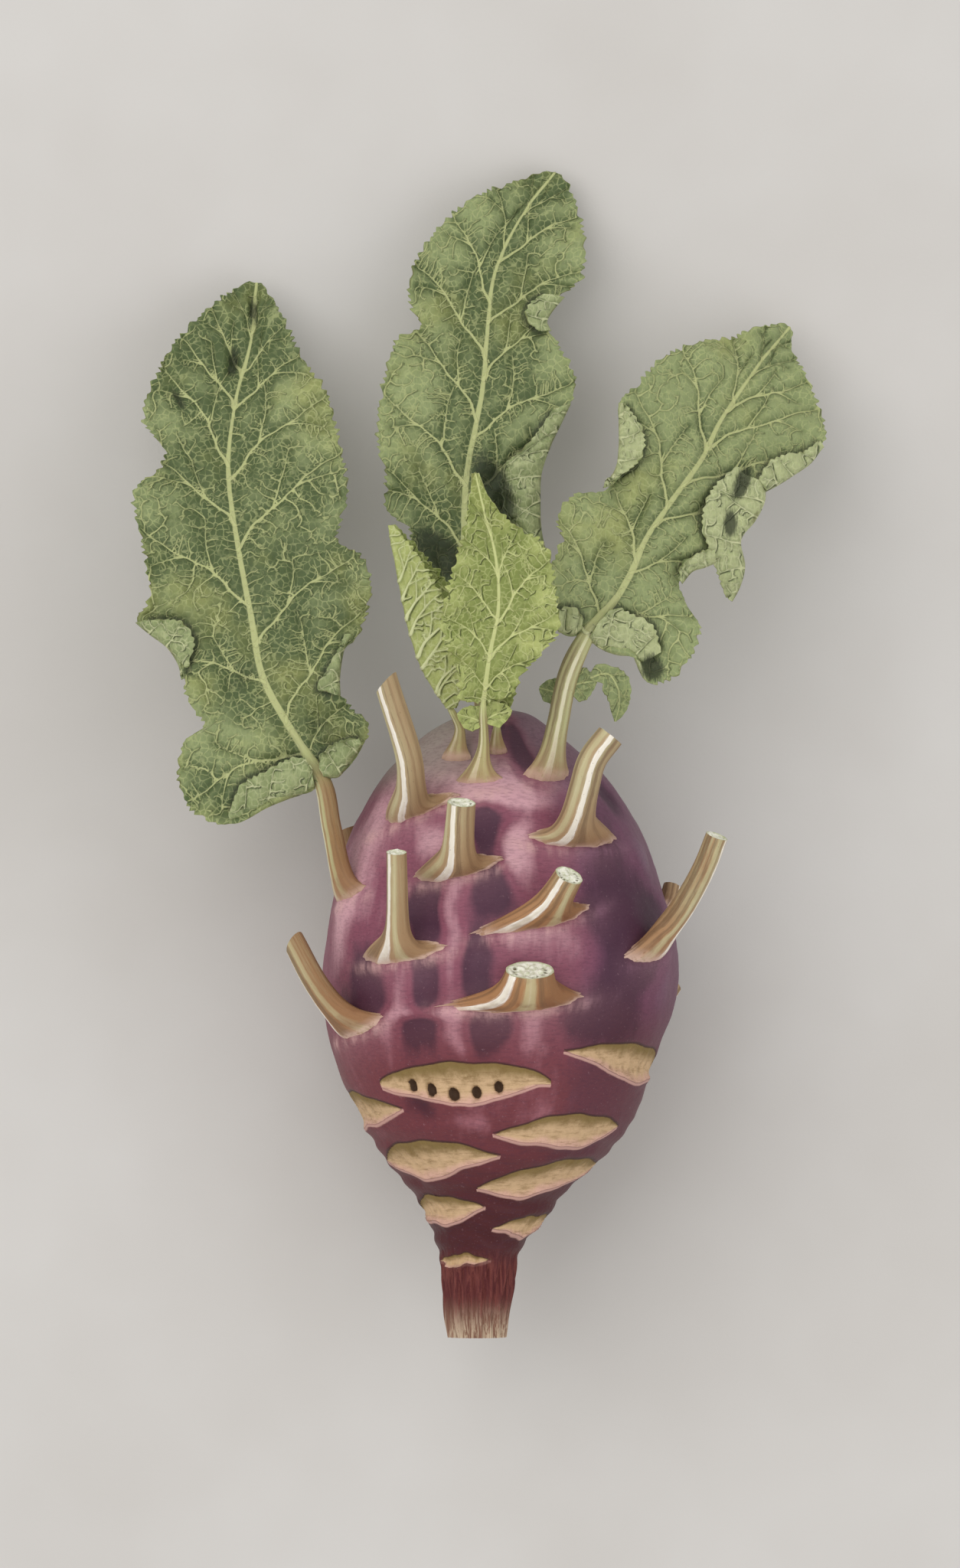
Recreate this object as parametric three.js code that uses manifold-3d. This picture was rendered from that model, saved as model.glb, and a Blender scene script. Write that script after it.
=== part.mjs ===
// A purple kohlrabi with its leaves, lying on its side on a table. Millimetres, +Z up.
// +Y runs from the root stump to the crown, and the origin is the centre of the small flat spot it rests on.
// The swollen stem, each cut leaf stalk and each leaf with its own stalk is one closed solid.
import * as THREE from "three";
import { mergeVertices } from "three/addons/utils/BufferGeometryUtils.js";
import Module from "manifold-3d";

const wasm = await Module();
wasm.setup();

// ---- Driving dimensions ----

const AXIS_HEIGHT = 45; // the swollen stem's axis above the table
const GAP = 0.3; // between a stalk's foot and the skin it stands on
const FOOT_DEPTH = 5; // how far a stalk is drawn into the skin before it is cut back to it
const BLADE = 0.8; // thickness of a leaf blade
const MARGIN_BAND = 2; // outer band of a blade, which carries the teeth
const TOOTH = 1.3; // height of a tooth on a blade's margin
const FOLD_ARCH = 1.6; // how high a folded margin arches next to its bend
const CUT_WIDTH = 0.86; // a cut end's width against the stalk's

// The swollen stem: distance along Y, radius, and the axis's sideways offset in X.
const STEM_PROFILE = [
  [-95.4, 7.2, -6.2],
  [-91, 7.9, -6.3],
  [-82, 9, -5.8],
  [-74.8, 9.9, -5.7],
  [-70.5, 11.6, -5.2],
  [-65, 15.1, -3.6],
  [-58, 19.6, -3],
  [-51.5, 25.8, -1.9],
  [-42.4, 33.1, -0.7],
  [-35.2, 37, -1],
  [-28, 39.8, -1.5],
  [-20.4, 42.3, -1.2],
  [-10.5, 45, -0.2],
  [-0.6, 45.8, 0],
  [10, 44.8, -0.3],
  [22.6, 41.6, -1],
  [30.5, 39.2, -1.1],
  [37.6, 36.4, -1.3],
  [44, 33, -1.8],
  [50.3, 28.4, -2.2],
  [57, 21.2, -2.5],
  [62, 15, -2.2],
  [65.6, 8.6, -1],
  [67, 2, 0],
];
const STEM_SECTORS = 36;
const STEM_RINGS = 52;
const LUMP = 0.5; // height of the stem's slow swellings

// Lens-shaped scars of fallen leaves: distance along Y, angle round the axis from the top (degrees, towards
// +X), half the angle they span, half their height, and how far their +X end lies crownward of their middle.
const SCARS = [
  [-29.2, -13, 35, 5.7, 0],
  [-24, 65, 41, 4.3, -3.4],
  [-36.5, -80, 40, 5, 0.8],
  [-41.3, 32, 35, 4.3, 0.8],
  [-48.6, -40, 43, 4.5, 0.9],
  [-53.4, 40, 50, 4.3, 3],
  [-62, -52, 50, 3.8, 0.8],
  [-66, 55, 48, 2.5, 0.8],
  [-75.2, -30, 50, 1.7, 0.3],
];
const HIDDEN_SCARS = 6; // on the underside, one every HIDDEN_SCAR_STEP along the stem
const HIDDEN_SCAR_START = -28;
const HIDDEN_SCAR_STEP = -8;
const HIDDEN_SCAR_SWING = 34; // degrees to either side of straight down
const SCAR_DEPTH = 0.9;
const SCAR_LIP = 0.8;

// Cut stalks. at: where each stands, as distance along Y and angle round the axis. path: the points its middle
// passes, the last being the cut end. skirt: how far its foot spreads to each side. twist: how far the foot is
// turned on the skin. slant: of the cut. Angles are in degrees.
const CUT_STALKS = [
  {
    at: [40.4, -40],
    path: [[-23.2, 47, 80], [-23.6, 54.5, 84], [-29.3, 73.6, 88]],
    width: 7.6,
    skirt: [8, 15],
    twist: 19,
    slant: 35,
  },
  {
    at: [26, -16.5],
    path: [[-11.3, 29.3, 90], [-10.7, 35.2, 94], [-10.1, 43, 97]],
    width: 8.4,
    skirt: [11, 13.5],
    twist: 12,
  },
  {
    at: [4.6, -35],
    path: [[-26.5, 8, 87.5], [-26.5, 16.8, 92], [-26.7, 30.3, 96]],
    width: 6.2,
    skirt: [12, 14],
    twist: 7,
  },
  {
    at: [-14.5, -58],
    path: [[-42.4, -10.3, 70], [-47.7, -3, 72], [-53, 7, 73]],
    width: 7.2,
    skirt: [8, 14],
    twist: 12,
    slant: 35,
  },
  {
    at: [33.9, 31],
    path: [[19.6, 39.2, 84], [21.4, 47.1, 88], [23.4, 53.9, 90], [28, 60, 89.5]],
    width: 8.6,
    skirt: [13, 14.5],
    twist: -2,
  },
  { at: [13.6, 15], path: [[14, 18.4, 94], [17.4, 24.4, 98]], width: 8.8, skirt: [19, 13], twist: 13 },
  { at: [-7.4, 9], path: [[7.3, -4, 95], [7.5, 0.2, 97]], width: 13.5, skirt: [23, 15], twist: 4 },
  {
    at: [5, 58],
    path: [[43, 11, 69], [47.2, 17, 72], [52.2, 26.2, 75], [55.4, 34.4, 77]],
    width: 7.2,
    skirt: [11, 8],
    twist: 8,
  },
  { at: [16, 100], path: [[43.6, 18.6, 36], [44.4, 21.4, 35]], width: 5.4, skirt: [6, 6], twist: 0 },
];
// Low cut stalks on the side that faces the table, given as [distance along Y, angle round the axis].
const LOW_STALKS = [
  [38, 140],
  [30, -116],
  [16, 131],
  [8, -135],
  [-8, -118],
  [-10, 120],
];
const LOW_STALK_RISE = 4; // how far a low stalk stands off the skin
const LOW_STALK_LEAN = 6; // and how far it leans towards the crown
const LOW_STALK = { width: 8.6, skirt: [8, 8], twist: 0 };
const STALK_SIDES = 12;
const STALK_STATIONS = 6;
const SKIRT_HEIGHT = 4; // over which a spread foot narrows to the stalk
const SKIRT_DEPTH = 3; // half a spread foot's depth

// Leaves. rows: of the blade's grid. stalk: as above, up to where the blade begins. midrib: from there to the
// tip. left and right: the blade's outline from base to tip, seen from above.
// lead: how early the cross lines reach along each margin. slope: how steeply each half leaves the midrib.
// rise: how far the margins curve up above the midrib, as a share of the half width. ruffle and waves: height
// and number of the waves along each half. rib: how far the midrib stands below the blade at its base.
// folds: where a margin is folded up over the blade, from the line it bends on to its free edge.
// leaflets: small lobes on the stalk, each with its own midrib, how far it spreads and how it rises.
const LEAVES = [
  {
    name: "left_leaf",
    rows: 27,
    stalk: {
      at: [19.5, -63],
      path: [[-43.4, 36, 67], [-45.4, 47, 67]],
      width: 5.8,
      skirt: [7.5, 8],
      twist: 14,
    },
    midrib: [
      [-46, 49, 67], [-51, 57, 66.5], [-61.2, 75, 61], [-64.4, 91, 55], [-68.4, 112, 46],
      [-70.6, 130, 36.5], [-68.6, 148, 26.5], [-65, 163, 17.5], [-63.6, 179, 8],
    ],
    left: [
      [-47.6, 48], [-49, 45.4], [-53, 44.4], [-60, 41.4], [-68.6, 37.2], [-76, 38.5], [-82.4, 46],
      [-81.8, 58], [-76.4, 63], [-80, 68], [-82.4, 76], [-85, 82.4], [-94.4, 89.8], [-90.8, 95],
      [-92, 107], [-94.8, 124], [-88.6, 129], [-87, 134], [-92.8, 142.4], [-88.4, 156], [-83, 164.7],
      [-73, 174.2], [-63.8, 180],
    ],
    right: [
      [-44.4, 49.6], [-41.4, 49.6], [-35.2, 57], [-34, 63], [-38.6, 67.6], [-41.6, 73], [-40, 82],
      [-36.2, 87], [-33.4, 100], [-36.4, 107], [-42, 110.4], [-39.6, 122.6], [-41.4, 134.6],
      [-45.4, 149.7], [-51, 157.6], [-57, 170], [-63.4, 180],
    ],
    lead: [0.72, 0.82],
    rise: 0.1,
    ruffle: 1.7,
    waves: 5.5,
    rib: 1.5,
    folds: [
      {
        outer: [
          [-48, 47.4, 67.8], [-51, 45.6, 68], [-55, 44.2, 68.2], [-60, 42.2, 68.4], [-65, 39.8, 68.6],
          [-70, 38.2, 68.8],
        ],
        inner: [
          [-48.4, 51.6, 70.6], [-51.4, 54.6, 71], [-56, 53.4, 71], [-61.5, 50.4, 71], [-66.8, 47.4, 71],
          [-69.6, 40.6, 70.4],
        ],
      },
      {
        outer: [
          [-45.6, 49.8, 68], [-42.2, 49.8, 68.2], [-40.4, 51.6, 68.4], [-38.2, 54.6, 68.4],
          [-35.8, 58, 68.6],
        ],
        inner: [
          [-46.6, 52, 70], [-46.4, 55, 71], [-43.6, 57.6, 71.4], [-40.2, 59, 71.2], [-36.4, 59.4, 70],
        ],
      },
      {
        outer: [
          [-82, 74.8, 58.6], [-82.8, 78.6, 58.2], [-85.6, 83, 57.8], [-90, 86.4, 57.2],
          [-93.8, 89.4, 56.6],
        ],
        inner: [
          [-81.2, 75.6, 59.6], [-80, 80, 60.6], [-79, 84.4, 60.4], [-82.2, 89.4, 60], [-91, 90, 58.6],
        ],
      },
      {
        outer: [
          [-41.7, 70.6, 66], [-41.9, 74, 65.6], [-41.5, 78, 65], [-40.3, 83, 63.4], [-38.4, 86.2, 62],
        ],
        inner: [
          [-43.4, 71, 67], [-47.4, 72.6, 67.6], [-45, 76.4, 67.2], [-42.6, 80.6, 66], [-40.2, 86, 63.8],
        ],
      },
    ],
  },
  {
    name: "middle_leaf",
    rows: 27,
    stalk: {
      at: [56.5, 168],
      path: [[-3.6, 66, 38], [-4.2, 71, 41]],
      width: 6.2,
      skirt: [6, 6],
      twist: 0,
    },
    midrib: [
      [-4.4, 73, 42], [-8, 92, 44.5], [-9.4, 112, 42.5], [-8.8, 128, 39], [-4.8, 149.5, 31.5],
      [-3, 170, 23], [-1.4, 181, 18.5], [6, 196.5, 10.5], [14.6, 208, 6],
    ],
    left: [
      [-6.4, 72.6], [-12, 77], [-20, 90], [-24, 103], [-23.6, 113.6], [-29.4, 118.4], [-29.8, 128],
      [-31.9, 136], [-30.8, 150], [-26.4, 163.6], [-20.8, 166.4], [-23.8, 173], [-22.4, 183],
      [-16.6, 192], [-7, 200.6], [3, 204.6], [14.4, 208.6],
    ],
    right: [
      [-2.4, 72.8], [4, 79], [10, 91], [12.4, 104], [10.6, 113], [10.4, 121], [10.8, 128], [15.4, 140],
      [18.8, 147], [19.2, 153.6], [15, 162], [12, 168.2], [15.6, 174.4], [20.8, 179], [22, 188],
      [19, 201], [14.8, 208.6],
    ],
    lead: [0.95, 0.95],
    rise: 0.06,
    ruffle: 1.6,
    waves: 6,
    rib: 1.5,
    folds: [
      {
        outer: [
          [11.6, 107, 44.6], [10.1, 113.4, 44], [9.8, 121, 43], [10.1, 128, 41], [12.6, 135.4, 38.8],
          [15.2, 140.8, 37], [17.8, 146.2, 34.6],
        ],
        inner: [
          [8.4, 109.6, 47], [2.8, 115.6, 47], [0.8, 121, 46.6], [0.8, 129.6, 45], [6, 134.6, 43],
          [10.4, 140, 40.6], [13.6, 144.8, 37.4],
        ],
      },
      {
        outer: [[12.8, 165.4, 25.6], [11.7, 167.8, 25.4], [13.2, 170.8, 24.4], [16.2, 174.4, 22.6]],
        inner: [[10, 165.4, 28.4], [6.6, 168.6, 28.6], [7.2, 172, 27.6], [11, 175, 25.2]],
      },
    ],
  },
  {
    name: "right_leaf",
    rows: 24,
    stalk: {
      at: [50, 29],
      path: [[14.6, 63, 70], [17.4, 76, 72.5], [21.6, 85, 72.5]],
      width: 6,
      skirt: [6.5, 6.5],
      twist: 0,
    },
    midrib: [
      [22.6, 87, 72.3], [28, 93, 70.5], [33, 101, 67], [38.2, 112, 61], [44.7, 121.6, 54],
      [52.2, 132, 45], [56.8, 141.4, 36.5], [63, 150.8, 27.5], [67.6, 157.4, 21], [75.6, 167, 10],
    ],
    left: [
      [21.2, 88], [18, 85.4], [14, 87], [12.4, 94], [12.4, 102.4], [15.6, 110.6], [14.6, 116.4],
      [18, 121.6], [26.4, 123.6], [30, 129.6], [30.4, 138], [30.2, 146.6], [35, 150.6], [41, 157.6],
      [51, 162.4], [60, 163.8], [67, 166.8], [75.4, 167.6],
    ],
    right: [
      [22.8, 84.6], [26.9, 81.6], [32, 80.4], [35.8, 79], [38, 73.6], [42.6, 74], [48.6, 80],
      [51.2, 88], [47.6, 93.9], [46.2, 99], [49.4, 102.2], [54.4, 104], [59.6, 108.4], [63, 111.6],
      [66.4, 117], [68.4, 122.4], [76.4, 127.8], [81, 131], [84, 136], [84, 141], [80.4, 152],
      [76, 161], [76, 167],
    ],
    lead: [0.85, 0.72],
    rise: 0.08,
    ruffle: 1.5,
    waves: 5.5,
    rib: 1.5,
    folds: [
      {
        outer: [
          [22.8, 85.4, 73], [26.4, 82.6, 71.6], [30.4, 81.2, 70.8], [34, 80.8, 70.4],
          [36.8, 79.2, 70.4],
        ],
        inner: [
          [25.6, 89.8, 75], [29.6, 92.8, 74.6], [34, 91.2, 73.6], [38.8, 88.6, 73], [41.2, 81.6, 72.4],
        ],
      },
      {
        outer: [[20.8, 87.6, 73], [18, 86.2, 72.8], [14.8, 87.2, 72.6]],
        inner: [[21.2, 90, 75.4], [18.6, 93.2, 75.6], [14.4, 92.4, 75]],
      },
      {
        outer: [[46.6, 99.6, 62.4], [49.4, 102.8, 61], [52.4, 103.8, 59.8], [55.4, 105, 58.4]],
        inner: [[45.8, 102.6, 64.8], [48.4, 105.6, 64.2], [51.4, 107.4, 63.2], [55, 108.2, 62]],
      },
      {
        outer: [
          [68, 125, 49], [67.8, 121, 50.2], [65.4, 116, 52], [61.6, 110.8, 54.4], [62.6, 104, 54.6],
          [61.4, 98.8, 53], [59.4, 95, 51.8],
        ],
        inner: [
          [60.8, 129.6, 51], [55.6, 125, 53.8], [52.8, 120.4, 56.4], [52, 114, 59], [53.4, 109, 60.4],
          [55.8, 102.4, 57.6], [58.2, 95.8, 52.6],
        ],
      },
      {
        outer: [
          [68.4, 123.6, 48.6], [72, 125.6, 46.4], [76, 128.2, 43.8], [80, 131, 41.2], [83.2, 135, 38.2],
        ],
        inner: [
          [66.6, 126.2, 51], [69.4, 131, 49.2], [73.4, 132.8, 46.8], [78, 133.6, 43.8],
          [82.6, 136.4, 39.8],
        ],
      },
      {
        outer: [
          [26.6, 124.2, 59.8], [30, 129, 57.2], [30.9, 134, 54], [31, 140, 50], [30.8, 146.2, 46.8],
        ],
        inner: [
          [27.4, 125, 61.4], [34.6, 130, 58.6], [37, 134.4, 55.8], [36.4, 139.6, 52.4],
          [32, 146.2, 48.8],
        ],
      },
    ],
    leaflets: [
      { midrib: [[17, 72.6, 71.6], [20.6, 73.6, 71.2], [24.6, 74.2, 71]], spread: 4, rise: 0.2 },
      {
        midrib: [
          [23, 75, 71.2], [27.4, 76, 71.4], [30, 72.4, 70.4], [30.4, 68, 68.6], [29.4, 63.8, 66.4],
        ],
        spread: 3,
        rise: 0.2,
      },
      { midrib: [[15.4, 71, 70.4], [13, 71.6, 69], [10, 72.4, 67.6]], spread: 3, rise: -0.2 },
    ],
  },
  {
    name: "young_leaf",
    rows: 13,
    stalk: {
      at: [48, -7],
      path: [[-4.4, 58, 77.5], [-4.6, 67, 82]],
      width: 3.4,
      skirt: [7, 7],
      twist: 6,
    },
    midrib: [
      [-4.5, 69, 83], [-3, 80, 87], [-0.6, 93, 90], [-1.4, 106, 91.5], [-4.2, 117, 91.5],
      [-6.6, 127.6, 90.5],
    ],
    left: [
      [-5.6, 68.6], [-10.6, 69.6], [-11, 76], [-15.2, 86.6], [-13.8, 97], [-11, 107], [-8.8, 116],
      [-7, 128],
    ],
    right: [
      [-3.6, 69], [3, 70.6], [5, 75], [11.6, 82.4], [14.8, 87], [13.8, 98], [11.6, 108.4], [4, 113.6],
      [-2.4, 120], [-6.4, 128],
    ],
    lead: [0.9, 0.85],
    rise: 0.12,
    ruffle: 1.1,
    waves: 5,
    rib: 0.9,
    leaflets: [
      { midrib: [[-4.4, 63.4, 80], [-7.4, 64.6, 80], [-11.2, 65.6, 79]], spread: 2.6, rise: 0.2 },
      { midrib: [[-4.2, 64, 80.4], [-1.2, 65.6, 80.4], [2.8, 66.6, 79.4]], spread: 2.6, rise: 0.2 },
    ],
  },
  {
    name: "bud_leaf",
    rows: 7,
    columns: [0.5, 1],
    stalk: {
      at: [55.8, 4],
      path: [[-1.1, 60, 70.6], [-1, 63, 72.6]],
      width: 2.8,
      skirt: [2.5, 2.5],
      twist: 0,
    },
    midrib: [[-1, 64, 73.2], [-0.6, 70, 75.4], [-0.8, 77, 77], [-1, 85, 77.6]],
    left: [[-1.8, 64], [-4.4, 68], [-5.2, 74], [-3.6, 80], [-1.3, 85.4]],
    right: [[-0.2, 64], [2.8, 68], [4, 74], [2.2, 80], [-0.8, 85.4]],
    lead: [1, 1],
    rise: 0.25,
    ruffle: 0.4,
    waves: 3,
    rib: 0.5,
  },
  {
    name: "folded_leaf",
    rows: 12,
    stalk: {
      at: [54, -22],
      path: [[-10.6, 62, 67], [-12.6, 66.4, 68]],
      width: 3,
      skirt: [4, 4],
      twist: 0,
    },
    midrib: [
      [-13.2, 67.6, 68.2], [-19.4, 77, 69.4], [-23.6, 89.5, 70], [-26, 102, 69.4], [-28.6, 114.4, 67.6],
    ],
    left: [[-11.6, 67.2], [-9.4, 73], [-10.4, 85], [-15, 96], [-21.6, 107], [-28, 114.8]],
    right: [[-11.4, 67.2], [-8.6, 74], [-8, 86], [-13, 98.4], [-20, 107], [-27.8, 115]],
    lead: [1, 1],
    slope: [0.45, -0.55],
    rise: 0.1,
    ruffle: 0.6,
    waves: 4,
    rib: 0.6,
  },
];

// Columns across half a blade: shares of the way from the midrib to the toothed band.
const BLADE_COLUMNS = [0.1, 0.55, 1];
const LEAFLET = { rows: 4, columns: [0.5, 1], lead: [1, 1], ruffle: 0.4, waves: 2.5, rib: 0.3 };
const BLADE_END = 0.985; // the grid stops just short of the tip
const TIP_LEAD = 0.012; // there the midrib runs ahead of the margins by this share, so that the tip is full
const FOLD_ROWS = 8;
const FOLD_COLUMNS = [0, 0.12, 0.5, 1];

// ---- Materials ----

const finish = (color, roughness) => new THREE.MeshStandardMaterial({ color, roughness, metalness: 0 });
const SKIN = finish(0x6b3a58, 0.42);
const CUT_STALK = finish(0xa98a5c, 0.6);
const GREEN = finish(0x6f8752, 0.6);
const YOUNG_GREEN = finish(0x9fb05f, 0.6);

// ---- Small helpers ----

const { clamp, degToRad, lerp, smoothstep } = THREE.MathUtils;
const vec = (p) => new THREE.Vector3(...p);
const smoothPath = (points) => new THREE.CatmullRomCurve3(points.map(vec), false, "centripetal");

// A triangle mesh from vertices and index triples.
function meshGeometry(vertices, triangles) {
  const g = new THREE.BufferGeometry();
  g.setAttribute("position", new THREE.Float32BufferAttribute(vertices.flatMap((v) => v.toArray()), 3));
  g.setIndex(triangles.flat());
  return g;
}

function toSolid(geometry) {
  const bare = geometry.clone();
  bare.deleteAttribute("normal");
  bare.deleteAttribute("uv");
  const merged = mergeVertices(bare, 1e-4);
  const mesh = new wasm.Mesh({
    numProp: 3,
    vertProperties: merged.attributes.position.array,
    triVerts: new Uint32Array(merged.index.array),
  });
  return new wasm.Manifold(mesh);
}

function toGeometry(solid) {
  const { numProp, vertProperties, triVerts } = solid.getMesh();
  const g = new THREE.BufferGeometry();
  const positions = new Float32Array((vertProperties.length / numProp) * 3);
  for (let i = 0; i < positions.length / 3; i++) {
    positions.set(vertProperties.subarray(i * numProp, i * numProp + 3), i * 3);
  }
  g.setAttribute("position", new THREE.BufferAttribute(positions, 3));
  g.setIndex(new THREE.BufferAttribute(new Uint32Array(triVerts), 1));
  g.computeVertexNormals();
  return g;
}

// ---- The swollen stem ----

// Radius and axis offset at a distance along Y, on a smooth curve through the profile.
const profileCurve = smoothPath(STEM_PROFILE.map(([y, r, x]) => [r, y, x]));
const profileSamples = profileCurve.getSpacedPoints(600);
function stemAt(y) {
  const k = clamp(profileSamples.findIndex((p) => p.y >= y), 1, profileSamples.length - 1);
  const [a, b] = [profileSamples[k - 1], profileSamples[k]];
  const share = clamp((y - a.y) / (b.y - a.y), 0, 1);
  return { radius: lerp(a.x, b.x, share), offset: lerp(a.z, b.z, share) };
}

function allScars() {
  const hidden = Array.from({ length: HIDDEN_SCARS }, (_, k) => [
    HIDDEN_SCAR_START + HIDDEN_SCAR_STEP * k,
    180 + (k % 2 ? HIDDEN_SCAR_SWING : -HIDDEN_SCAR_SWING),
    38,
    lerp(4.6, 2.6, k / HIDDEN_SCARS),
    0,
  ]);
  return [...SCARS, ...hidden];
}
const scars = allScars();

// Height of the scars' relief: a shallow lens with a raised lower lip.
function scarRelief(y, angle) {
  let relief = 0;
  for (const [at, turn, half, tall, slant] of scars) {
    const across = (((angle - turn + 540) % 360) - 180) / half;
    if (Math.abs(across) >= 1) continue;
    const lens = tall * (1 - across * across);
    const up = (y - at - slant * across) / Math.max(lens, 0.5);
    if (Math.abs(up) < 1) relief -= SCAR_DEPTH * (1 - up * up) * (1 - across * across);
    relief += SCAR_LIP * (1 - across * across) * Math.exp(-(((up + 1.05) / 0.35) ** 2));
  }
  return relief;
}

function stemPoint(y, angle, outward = 0) {
  const { radius, offset } = stemAt(y);
  const a = degToRad(angle);
  const swell = LUMP * Math.sin(3 * a + y / 16) * Math.sin(y / 11 + 2 * a) * smoothstep(radius, 10, 30);
  const r = radius + swell + scarRelief(y, angle) + outward;
  return new THREE.Vector3(offset + r * Math.sin(a), y, AXIS_HEIGHT + r * Math.cos(a));
}

// Rings follow the profile's length, so that they crowd where it turns.
function stemSolid(outward) {
  const rings = profileCurve.getSpacedPoints(STEM_RINGS - 1).map((p) => p.y);
  rings[0] -= outward;
  rings[STEM_RINGS - 1] += outward;
  const vertices = [];
  for (const y of rings) {
    for (let s = 0; s < STEM_SECTORS; s++) vertices.push(stemPoint(y, (s * 360) / STEM_SECTORS, outward));
  }
  const ends = [vertices.length, vertices.length + 1];
  for (const y of [rings[0], rings[STEM_RINGS - 1]]) {
    vertices.push(new THREE.Vector3(stemAt(y).offset, y, AXIS_HEIGHT));
  }
  const triangles = [];
  for (let s = 0; s < STEM_SECTORS; s++) {
    const next = (s + 1) % STEM_SECTORS;
    for (let k = 0; k + 1 < STEM_RINGS; k++) {
      const [a, b] = [k * STEM_SECTORS + s, k * STEM_SECTORS + next];
      triangles.push([a, b, a + STEM_SECTORS], [b, b + STEM_SECTORS, a + STEM_SECTORS]);
    }
    const top = (STEM_RINGS - 1) * STEM_SECTORS;
    triangles.push([ends[0], next, s], [ends[1], top + s, top + next]);
  }
  return toSolid(meshGeometry(vertices, triangles));
}

const tableTop = new THREE.BoxGeometry(300, 500, 100).translate(0, 0, -50);
const stem = stemSolid(0).subtract(toSolid(tableTop));
const stemWithGap = stemSolid(GAP);

// ---- Stalks ----

// A stalk's cross-section is an ellipse: below the skin as wide as its skirt, then narrowing to its width. The
// skirt bends down with the skin it spreads over.
function stalkSolid({ at, path, width, skirt, twist, slant = 0 }, tail = []) {
  const [y, angle] = at;
  const turn = degToRad(angle);
  const outward = new THREE.Vector3(Math.sin(turn), 0, Math.cos(turn));
  const round = new THREE.Vector3(Math.cos(turn), 0, -Math.sin(turn));
  round.applyAxisAngle(outward, degToRad(twist));
  const inside = stemPoint(y - 1, angle, -FOOT_DEPTH);
  const curve = smoothPath([inside.toArray(), stemPoint(y, angle).toArray(), ...path, ...tail]);
  const length = curve.getLength();
  const bend = 2 * Math.max(stemAt(y).radius, 15);
  const stations = STALK_STATIONS + tail.length;
  const vertices = [];
  for (let k = 0; k <= stations; k++) {
    const share = (k / stations) ** 1.4;
    const centre = curve.getPointAt(share);
    const along = curve.getTangentAt(share);
    const above = Math.max(share * length - FOOT_DEPTH, 0);
    const flare = Math.exp(-((above / SKIRT_HEIGHT) ** 1.2));
    const across = round.clone().addScaledVector(along, (flare - 1) * round.dot(along)).normalize();
    const deep = new THREE.Vector3().crossVectors(along, across).normalize();
    const taper = tail.length ? lerp(1, 0.45, smoothstep(share, 0.6, 1)) : 1;
    const body = (width / 2) * lerp(1, CUT_WIDTH, share) * taper;
    for (let s = 0; s < STALK_SIDES; s++) {
      const a = (s * 2 * Math.PI) / STALK_SIDES;
      const spread = (skirt[Math.cos(a) < 0 ? 0 : 1] - body) * flare;
      const u = (body + Math.max(spread, 0)) * Math.cos(a);
      const w = lerp(body * 0.9, Math.min(body, SKIRT_DEPTH), flare) * Math.sin(a);
      const rim = centre.clone().addScaledVector(across, u).addScaledVector(deep, w);
      rim.addScaledVector(outward, (-flare * u * u) / bend);
      if (k === stations) rim.addScaledVector(along, u * Math.tan(degToRad(slant)));
      vertices.push(rim);
    }
  }
  const ends = [vertices.length, vertices.length + 1];
  vertices.push(curve.getPointAt(0), curve.getPointAt(1));
  const triangles = [];
  for (let s = 0; s < STALK_SIDES; s++) {
    const next = (s + 1) % STALK_SIDES;
    for (let k = 0; k < stations; k++) {
      const [a, b] = [k * STALK_SIDES + s, k * STALK_SIDES + next];
      triangles.push([a, b, a + STALK_SIDES], [b, b + STALK_SIDES, a + STALK_SIDES]);
    }
    const top = stations * STALK_SIDES;
    triangles.push([ends[0], next, s], [ends[1], top + s, top + next]);
  }
  return toSolid(meshGeometry(vertices, triangles));
}

// The largest body left after a foot is cut back to the skin.
function standOnSkin(solid) {
  const pieces = solid.subtract(stemWithGap).simplify(0.01).decompose();
  return pieces.sort((a, b) => b.volume() - a.volume())[0];
}

function lowStalk([y, angle]) {
  const top = stemPoint(y + LOW_STALK_LEAN, angle, LOW_STALK_RISE + 1);
  const middle = stemPoint(y + LOW_STALK_LEAN / 3, angle, LOW_STALK_RISE / 2);
  return { at: [y, angle], path: [middle.toArray(), top.toArray()], ...LOW_STALK };
}

// ---- Leaf blades ----

// A closed solid from a thin surface: the surface is moved both ways along its normals, and a rim closes it.
// extra gives how much deeper each vertex's lower face lies.
function thicken(vertices, triangles, border, extra) {
  const surface = meshGeometry(vertices, triangles);
  surface.computeVertexNormals();
  const normals = surface.attributes.normal;
  const faces = [1, -1].map((way) =>
    vertices.map((v, i) => {
      const reach = way > 0 ? BLADE / 2 : -(BLADE / 2 + extra[i]);
      return v.clone().addScaledVector(new THREE.Vector3().fromBufferAttribute(normals, i), reach);
    }),
  );
  const n = vertices.length;
  const under = triangles.map(([a, b, c]) => [a + n, c + n, b + n]);
  const rim = border.flatMap((a, i) => {
    const b = border[(i + 1) % border.length];
    return [[a, a + n, b], [b, a + n, b + n]];
  });
  return toSolid(meshGeometry([...faces[0], ...faces[1]], [...triangles, ...under, ...rim]));
}

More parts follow.
